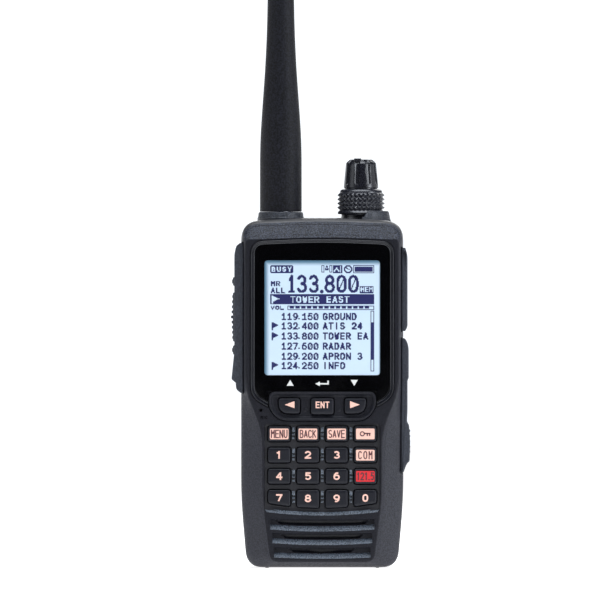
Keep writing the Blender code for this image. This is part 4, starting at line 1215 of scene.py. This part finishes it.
def make_antenna():
    base = 136.4
    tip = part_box("antenna_sheath")[1].z / MM
    outer = [(6.7, base + 0.15), (6.9, base), (7.85, base), (8.02, base + 0.2), (8.0, base + 20),
             (7.88, base + 26),
             (7.66, base + 31), (7.28, base + 37), (6.86, base + 43), (6.42, base + 49), (6.02, base + 55),
             (5.7, base + 61), (5.43, base + 67), (5.22, base + 74), (5.07, base + 82), (4.97, base + 92),
             (4.84, tip - 30), (4.7, tip - 7)]
    for k in range(9):
        a = math.pi / 2 * k / 8
        outer.append((4.66 * math.cos(a), tip - 4.7 + 4.68 * math.sin(a)))
    outer[-1] = (0, tip - 0.02)
    bore = [(0, tip - 8), (3.6, tip - 8), (3.6, base + 15), (6.7, base + 15), (6.7, base + 0.15)]
    sheath = turned("antenna_sheath_fine", ANTENNA_AT, bore + outer, 72)
    weld(sheath)
    piece(sheath, "antenna", ANTENNA, ["antenna_sheath"], angle=40)


def make_squelch_ring():
    """The outer ring: rows of small pyramids, each row turned a little against the one before."""
    teeth, pitch, first = 30, 1.6, 142.72

    def knurl(angle, radius, z):
        if not 137.0 < z < 143.6 or radius < 8.19:
            return radius
        row = (first - z) / pitch
        near = round(row)
        along = 1 - abs(row - near) * 2
        turn = (angle / (2 * math.pi) * teeth + near * 0.12) % 1.0
        across = 1 - abs(turn - 0.5) * 2
        return 8.2 + 0.93 * max(0.0, min(along, across * 1.15))

    profile = [(3.8, 135.08), (7.45, 135.08), (7.5, 135.35), (8.6, 135.4), (8.9, 135.6), (9.0, 135.95),
               (8.85, 136.3), (8.35, 136.8), (8.15, 137.0)]
    z = first - 3 * pitch - 0.8
    while z < 143.55:
        profile.append((8.2, z))
        z += pitch / 6
    profile += [(8.2, 143.62), (8.12, 144.1), (7.85, 144.55), (7.4, 144.85), (6.9, 145.0), (6.3, 145.05),
                (6.25, 145.34), (3.8, 145.34), (3.8, 135.08)]
    ring = turned("squelch_ring_fine", DIAL_AT, profile, teeth * 10, radius_at=knurl)
    weld(ring)
    piece(ring, "squelch_control", KNOB, ["squelch_ring"], angle=28)


def make_dial_knob():
    """The inner dial, with rounded flutes that fade out at their lower ends."""
    flutes, phase, half_flute = 9, math.radians(-64.3), 0.98

    def flute(angle, radius, z):
        if radius < 4.3 or z < 146.5:
            return radius
        turn = ((angle - phase) / (2 * math.pi) * flutes + 0.5) % 1.0 - 0.5
        aside = abs(turn * 2 * math.pi * radius / flutes)
        half = half_flute if z > 147.3 else half_flute * math.sqrt(max(0.0, 1 - ((147.3 - z) / 0.8) ** 2))
        if half <= 0 or aside >= half:
            return radius
        return radius - 0.62 * min(1.0, 2.2 * (1 - aside / half)) * min(1.0, half / 0.6)

    profile = [(0, 152.5), (3.06, 152.5), (3.06, 145.4), (6.5, 145.4), (6.68, 145.6)]
    profile += [(6.68 - 0.86 * (z - 145.6) / 9.2, z) for z in even(146.0, 154.6, 34)]
    profile += [(5.68, 155.0), (5.4, 155.35), (5.05, 155.65), (4.7, 155.95), (4.5, 156.2), (4.2, 156.32),
                (3.6, 156.36), (0, 156.36)]
    knob = turned("knob", DIAL_AT, profile, 300, radius_at=flute)
    weld(knob)
    mark = pad("mark", rectangle((12.2, 15.0), (-4.2, -1.2), 0.4), 155.5, 156.75, 0.25, "Z", 4)
    piece(merged("dial_knob_fine", knob, mark), "tuning_dial", DIAL, ["dial_knob"], 30)


# ---------------------------------------------------------------- back


def rear_hollows():
    return [box("cavity", (-27.5, 0, 98.5), (27.5, 14.8, 130.4)),
            box("notch", (-26.5, -5, 130.4), (26.5, 14.9, 150))]


def screw_holes(low, high):
    return [rod("hole", (x, SCREW_Z), 1.5, low, high, "Y", 24) for x in SCREWS_X]


def make_rear_shell():
    """The rear half above the battery, the plate behind the battery and the two rails that it slides on."""
    rim = rounded(RIM, 8, 3)
    plate = loft("plate", [(rounded(offset(RIM, -0.25), 8, 3), 1.7), (rim, 1.95), (rim, 4.2),
                           (rounded(offset(RIM, -0.3), 8, 3), 4.5)])
    block = both_sides([(31, 96.3, 0.8), (31, 132.6, 7.5), (0, 134.15, 14)])

    def drawn_in(by):
        return rounded(both_sides([(31 - by, 96.3 + by * 0.12, 0.8), (31 - by, 132.6 - by, 7.5 - by * 0.3),
                                   (0, 134.15 - by, 14)]), 8)
    sections = [(rounded(block, 8), 3.5)]
    sections += [(drawn_in(2.6 * (1 - math.cos(a))), 13.6 + 3.6 * math.sin(a)) for a in even(0, 1.35, 7)]
    upper = loft("upper", sections)
    carve(upper, rear_hollows() + [box("latch", (-3.4, 15.0, 95), (3.4, 16.5, 98.2))] + screw_holes(13, 20))
    carve(plate, rear_hollows())
    rails = [prism("rail", [(x - 1.5, 4.3), (x + 1.5, 4.3), (x + 2.6, 6.3), (x - 2.6, 6.3)], 22, 78, "Z")
             for x in (-19, 19)]
    piece(merged("rear_shell_fine", plate, upper, *rails), CASE, BACK, ["rear_chassis"])


def pack_ring(by):
    """The battery pack's outline, drawn in by that much."""
    return rounded(both_sides([(28.4 - by, 0.05 + by, 5), (30.5 - by, 26, 9),
                               (30.5 - by, 95.6 - by * 0.1, 0.8)]), 8, 2)


def make_battery():
    sections = [(pack_ring(0.2), 8.2), (pack_ring(0), 8.4), (pack_ring(0), 13.9)]
    sections += [(pack_ring(2.6 * (1 - math.cos(a))), 13.9 + 3.6 * math.sin(a)) for a in even(0.2, 1.35, 6)]
    face_y = sections[-1][1]
    battery = loft("battery", sections)
    cutters = [box("cells", (-27, 7, 4.4), (27, 15.8, 79.6)),
               box("latch_way", (-6.5, 14.8, 82.5), (6.5, 16.4, 94.3)),
               prism("latch_opening", rounded(rectangle((-5.2, 5.2), (83.5, 93.3), 1), 4), 16, 20),
               box("tongue", (-3.4, 14.8, 90), (3.4, 16.4, 98))]
    for z in even(14, 32, 6):
        for across in ((-21.5, -12.0), (12.0, 21.5)):
            cutters.append(prism("grip", rounded(rectangle(across, (z - 0.6, z + 0.6), 0.55), 3), 16.6, 19))
    cutters.append(prism("label_bed", rounded(rectangle((-19, 19), (42, 76), 1.5), 5), face_y - 0.22, 19))
    parts = [paint(carve(battery, cutters), BACK)]
    for x in (-4.5, 0, 4.5):
        outline = rectangle((x - 1.3, x + 1.3), (6.5, 10.0), 0.3)
        parts.append(paint(pad("contact", outline, face_y - 0.4, face_y + 0.02, 0.1), STEEL))
    # A near-black lip in the seam between the plate and the pack, painted shade that hides the gap.
    lip = carve(prism("lip", pack_ring(0.9), 7.4, 8.9), [prism("hollow", pack_ring(2.2), 7, 10)])
    piece(merged("battery_shell_fine", *parts, paint(lip, WELL_SHADE)), "battery_pack",
          replaces=["battery_case"])


def make_bay_pads():
    """Two pads in the battery bay, which keep light from showing through beside the pack."""
    pads = [pad("bay_pad", rectangle(across, (1.2, 94.5), 0.6), 4.4, 4.78, 0.1)
            for across in ((-27.0, -23.2), (23.2, 27.0))]
    piece(merged("battery_bay_pads", *pads), CASE, RUBBER)


def make_latch():
    parts = [pad("base", rectangle((-6, 6), (85.4, 94.0), 0.3), 15.1, 16.1, 0.1),
             pad("tongue", rectangle((-3, 3), (93, 97.7), 0.2), 15.1, 16.1, 0.1),
             pad("thumb", rectangle((-4.8, 4.8), (86.4, 93.0), 0.8), 15.6, 17.5, 0.4)]
    parts += [pad("rib", rectangle((-4.0, 4.0), (z - 0.4, z + 0.4), 0.35), 17.2, 18.25, 0.3)
              for z in (88.0, 90.0, 92.0)]
    piece(merged("battery_latch_fine", *parts), "pack_latch", KNOB, ["battery_latch"])


PIN_AT = (22.6, 121.0)


def pin_hole():
    return rod("hole", PIN_AT, 1.08, -14, 14, "X", 24)


def clip_strip():
    """The clip's spring strip along its centre line: narrower at both ends, and slightly dished."""
    half_w, back_y = 9.0, 25.6
    centre = [(back_y, 134.2)] + [(back_y, z) for z in even(132, 70, 20)]
    centre += bend((back_y, 69), (back_y, 63.5), (23.6, 60.6), 7)
    centre += bend((22.6, 59.2), (20.6, 56.6), (20.5, 54.5), 6) + [(20.6, 52.5), (20.7, 50.2)]
    rings = []
    for k, (y, z) in enumerate(centre):
        before, after = Vector(centre[max(0, k - 1)]), Vector(centre[min(len(centre) - 1, k + 1)])
        along = (after - before).normalized()
        out = Vector((-along.y, along.x))
        if out.x < 0:
            out = -out
        w = half_w
        if z > 131.5:
            w = half_w - 1.6 * (z - 131.5) / 2.7
        if z < 56:
            w = half_w - 3.2 * ((56 - z) / 5.8) ** 1.5
        dish = 0.35 * max(0.0, min(1.0, (131 - z) / 4, (z - 62) / 6))
        section = [(-1, -0.35), (-0.98, -0.6), (-0.9, -0.75), (-0.45, -0.75 + dish), (0.45, -0.75 + dish),
                   (0.9, -0.75),
                   (0.98, -0.6), (1, -0.35), (1, 0.35), (0.98, 0.6), (0.9, 0.75), (0.45, 0.75),
                   (-0.45, 0.75),
                   (-0.9, 0.75), (-0.98, 0.6), (-1, 0.35)]
        ring = []
        for share, thick in section:
            place = Vector((y, z)) + out * thick
            ring.append(Vector((share * w, place.x, place.y)) * MM)
        rings.append(ring)
    return solid("strip", rings)


def make_clip():
    pin_y, pin_z = PIN_AT
    profile = [(pin_y - 2.0, pin_z - 2.2, 1.5), (25.2, pin_z - 3.4, 0), (25.2, pin_z + 3.4, 0),
               (pin_y - 2.0, pin_z + 2.2, 1.5)]
    knuckles = [carve(prism("knuckle", rounded(profile, 8), low, high, "X"), [pin_hole()])
                for low, high in ((-9.0, -4.8), (4.8, 9.0))]
    piece(merged("belt_clip_fine", clip_strip(), *knuckles), "clip", CLIP, ["belt_clip"])


def make_clip_bracket():
    plate = pad("bracket", rectangle((-10.7, 10.7), (104.5, 127.5), 1.2), 17.5, 19.0, 0.3, "Y", 5)
    carve(plate, screw_holes(15, 22))
    profile = [(17.6, 116, 0), (24.4, 116.5, 2.2), (24.4, 125.2, 2.2), (17.6, 126, 0)]
    ears = [carve(prism("ear", rounded(profile, 7), low, high, "X"), [pin_hole()])
            for low, high in ((-10.7, -9.3), (9.3, 10.7))]
    piece(merged("clip_bracket_fine", plate, *ears), CASE, CLIP, ["clip_bracket"])


# ---------------------------------------------------------------- stage


def make_floor():
    """A round plain floor, which glows more behind the object than in front of it."""
    bm = bmesh.new()
    rings = [[bm.verts.new((x, y, 0)) for x, y in circle((0, 0), radius, 96)]
             for radius in (0.02, 0.3, 0.8, 1.6, 3.2)]
    bm.faces.new(rings[0])
    skin(bm, rings)
    floor = from_bmesh("studio_floor", bm, outward=False)
    paper = finish("studio_paper", (0.84, 0.84, 0.84), 0.9, grain=(3.0,), vary=0.01, emission=1.0)
    tree = paper.node_tree
    glow = remap(tree, place_axes(tree)["Y"], -0.6, 0.25, 0.45, 1.15)
    feed(tree, tree.nodes["Principled BSDF"], {"Emission Strength": glow})
    paint(floor, paper)


def lamp(name, at, size, power, colour=(1, 1, 1)):
    """A rectangular soft box aimed at the middle of the radio; places and sizes are in metres."""
    light = bpy.data.lights.new(name, "AREA")
    light.shape = "RECTANGLE"
    light.size, light.size_y = size
    light.energy = power
    light.color = colour
    obj = link(name, light)
    obj.location = at
    aim = Vector((0, 0, 0.1))
    obj.rotation_euler = (aim - Vector(at)).to_track_quat("-Z", "Y").to_euler()
    obj.visible_camera = False


def make_world():
    """A pale band round the horizon, dimmer straight ahead and brightest at the sides."""
    world = bpy.data.worlds.new("studio")
    world.use_nodes = True
    tree = world.node_tree
    axes = place_axes(tree, "Generated")
    height = add_node(tree, "Math", {0: axes["Z"]}, operation="ABSOLUTE").outputs[0]
    band = remap(tree, height, 0.10, 0.22, 1.16, 0.05)
    front = remap(tree, axes["Y"], -0.94, -0.45, 0.02, 0.78)
    behind = remap(tree, axes["Y"], 0.6, 0.9, 0.0, 0.27)
    strength = combine(tree, "MULTIPLY", band, combine(tree, "ADD", front, behind))
    feed(tree, tree.nodes["Background"], {"Color": (0.93, 0.96, 1.0, 1), "Strength": strength})
    bpy.context.scene.world = world


def make_camera():
    """A long lens straight in front, which takes in a fixed width at the radio's face."""
    camera = bpy.data.cameras.new("camera")
    camera.sensor_width = 36
    camera.lens = 600
    camera.clip_start, camera.clip_end = 0.02, 20
    holder = link("camera", camera)
    seen_width = 0.229
    distance = seen_width / 36 * camera.lens
    holder.location = (-0.0085, FRONT * MM - distance, 0.1025)
    holder.rotation_euler = (math.pi / 2, 0, 0)
    bpy.context.scene.camera = holder


def make_stage():
    make_floor()
    cool = (0.88, 0.93, 1.0)
    lamp("top_box", (0.0, -0.3, 1.0), (1.1, 0.8), 10.8, cool)
    lamp("left_box", (-0.95, -0.5, 0.45), (0.4, 0.9), 0.6, cool)
    lamp("right_box", (0.9, -0.5, 0.3), (0.35, 0.8), 4.7, cool)
    lamp("back_box", (0.2, 1.0, 0.8), (0.9, 0.6), 5)
    make_world()
    bpy.context.scene.view_settings.view_transform = "Standard"
    make_camera()


make_front_case()
make_seam_lip()
make_speaker_cloth()
make_mic_mark()
make_keypad_ribs()
make_top()
make_window()
make_dots()
make_screen()
make_keypad()
make_nav_surround()
make_nav_keys()
make_side_panel()
make_side_buttons()
make_upper_cover()
make_lower_cover()
make_antenna()
make_squelch_ring()
make_dial_knob()
make_rear_shell()
make_bay_pads()
make_battery()
make_latch()
make_clip()
make_clip_bracket()
make_stage()
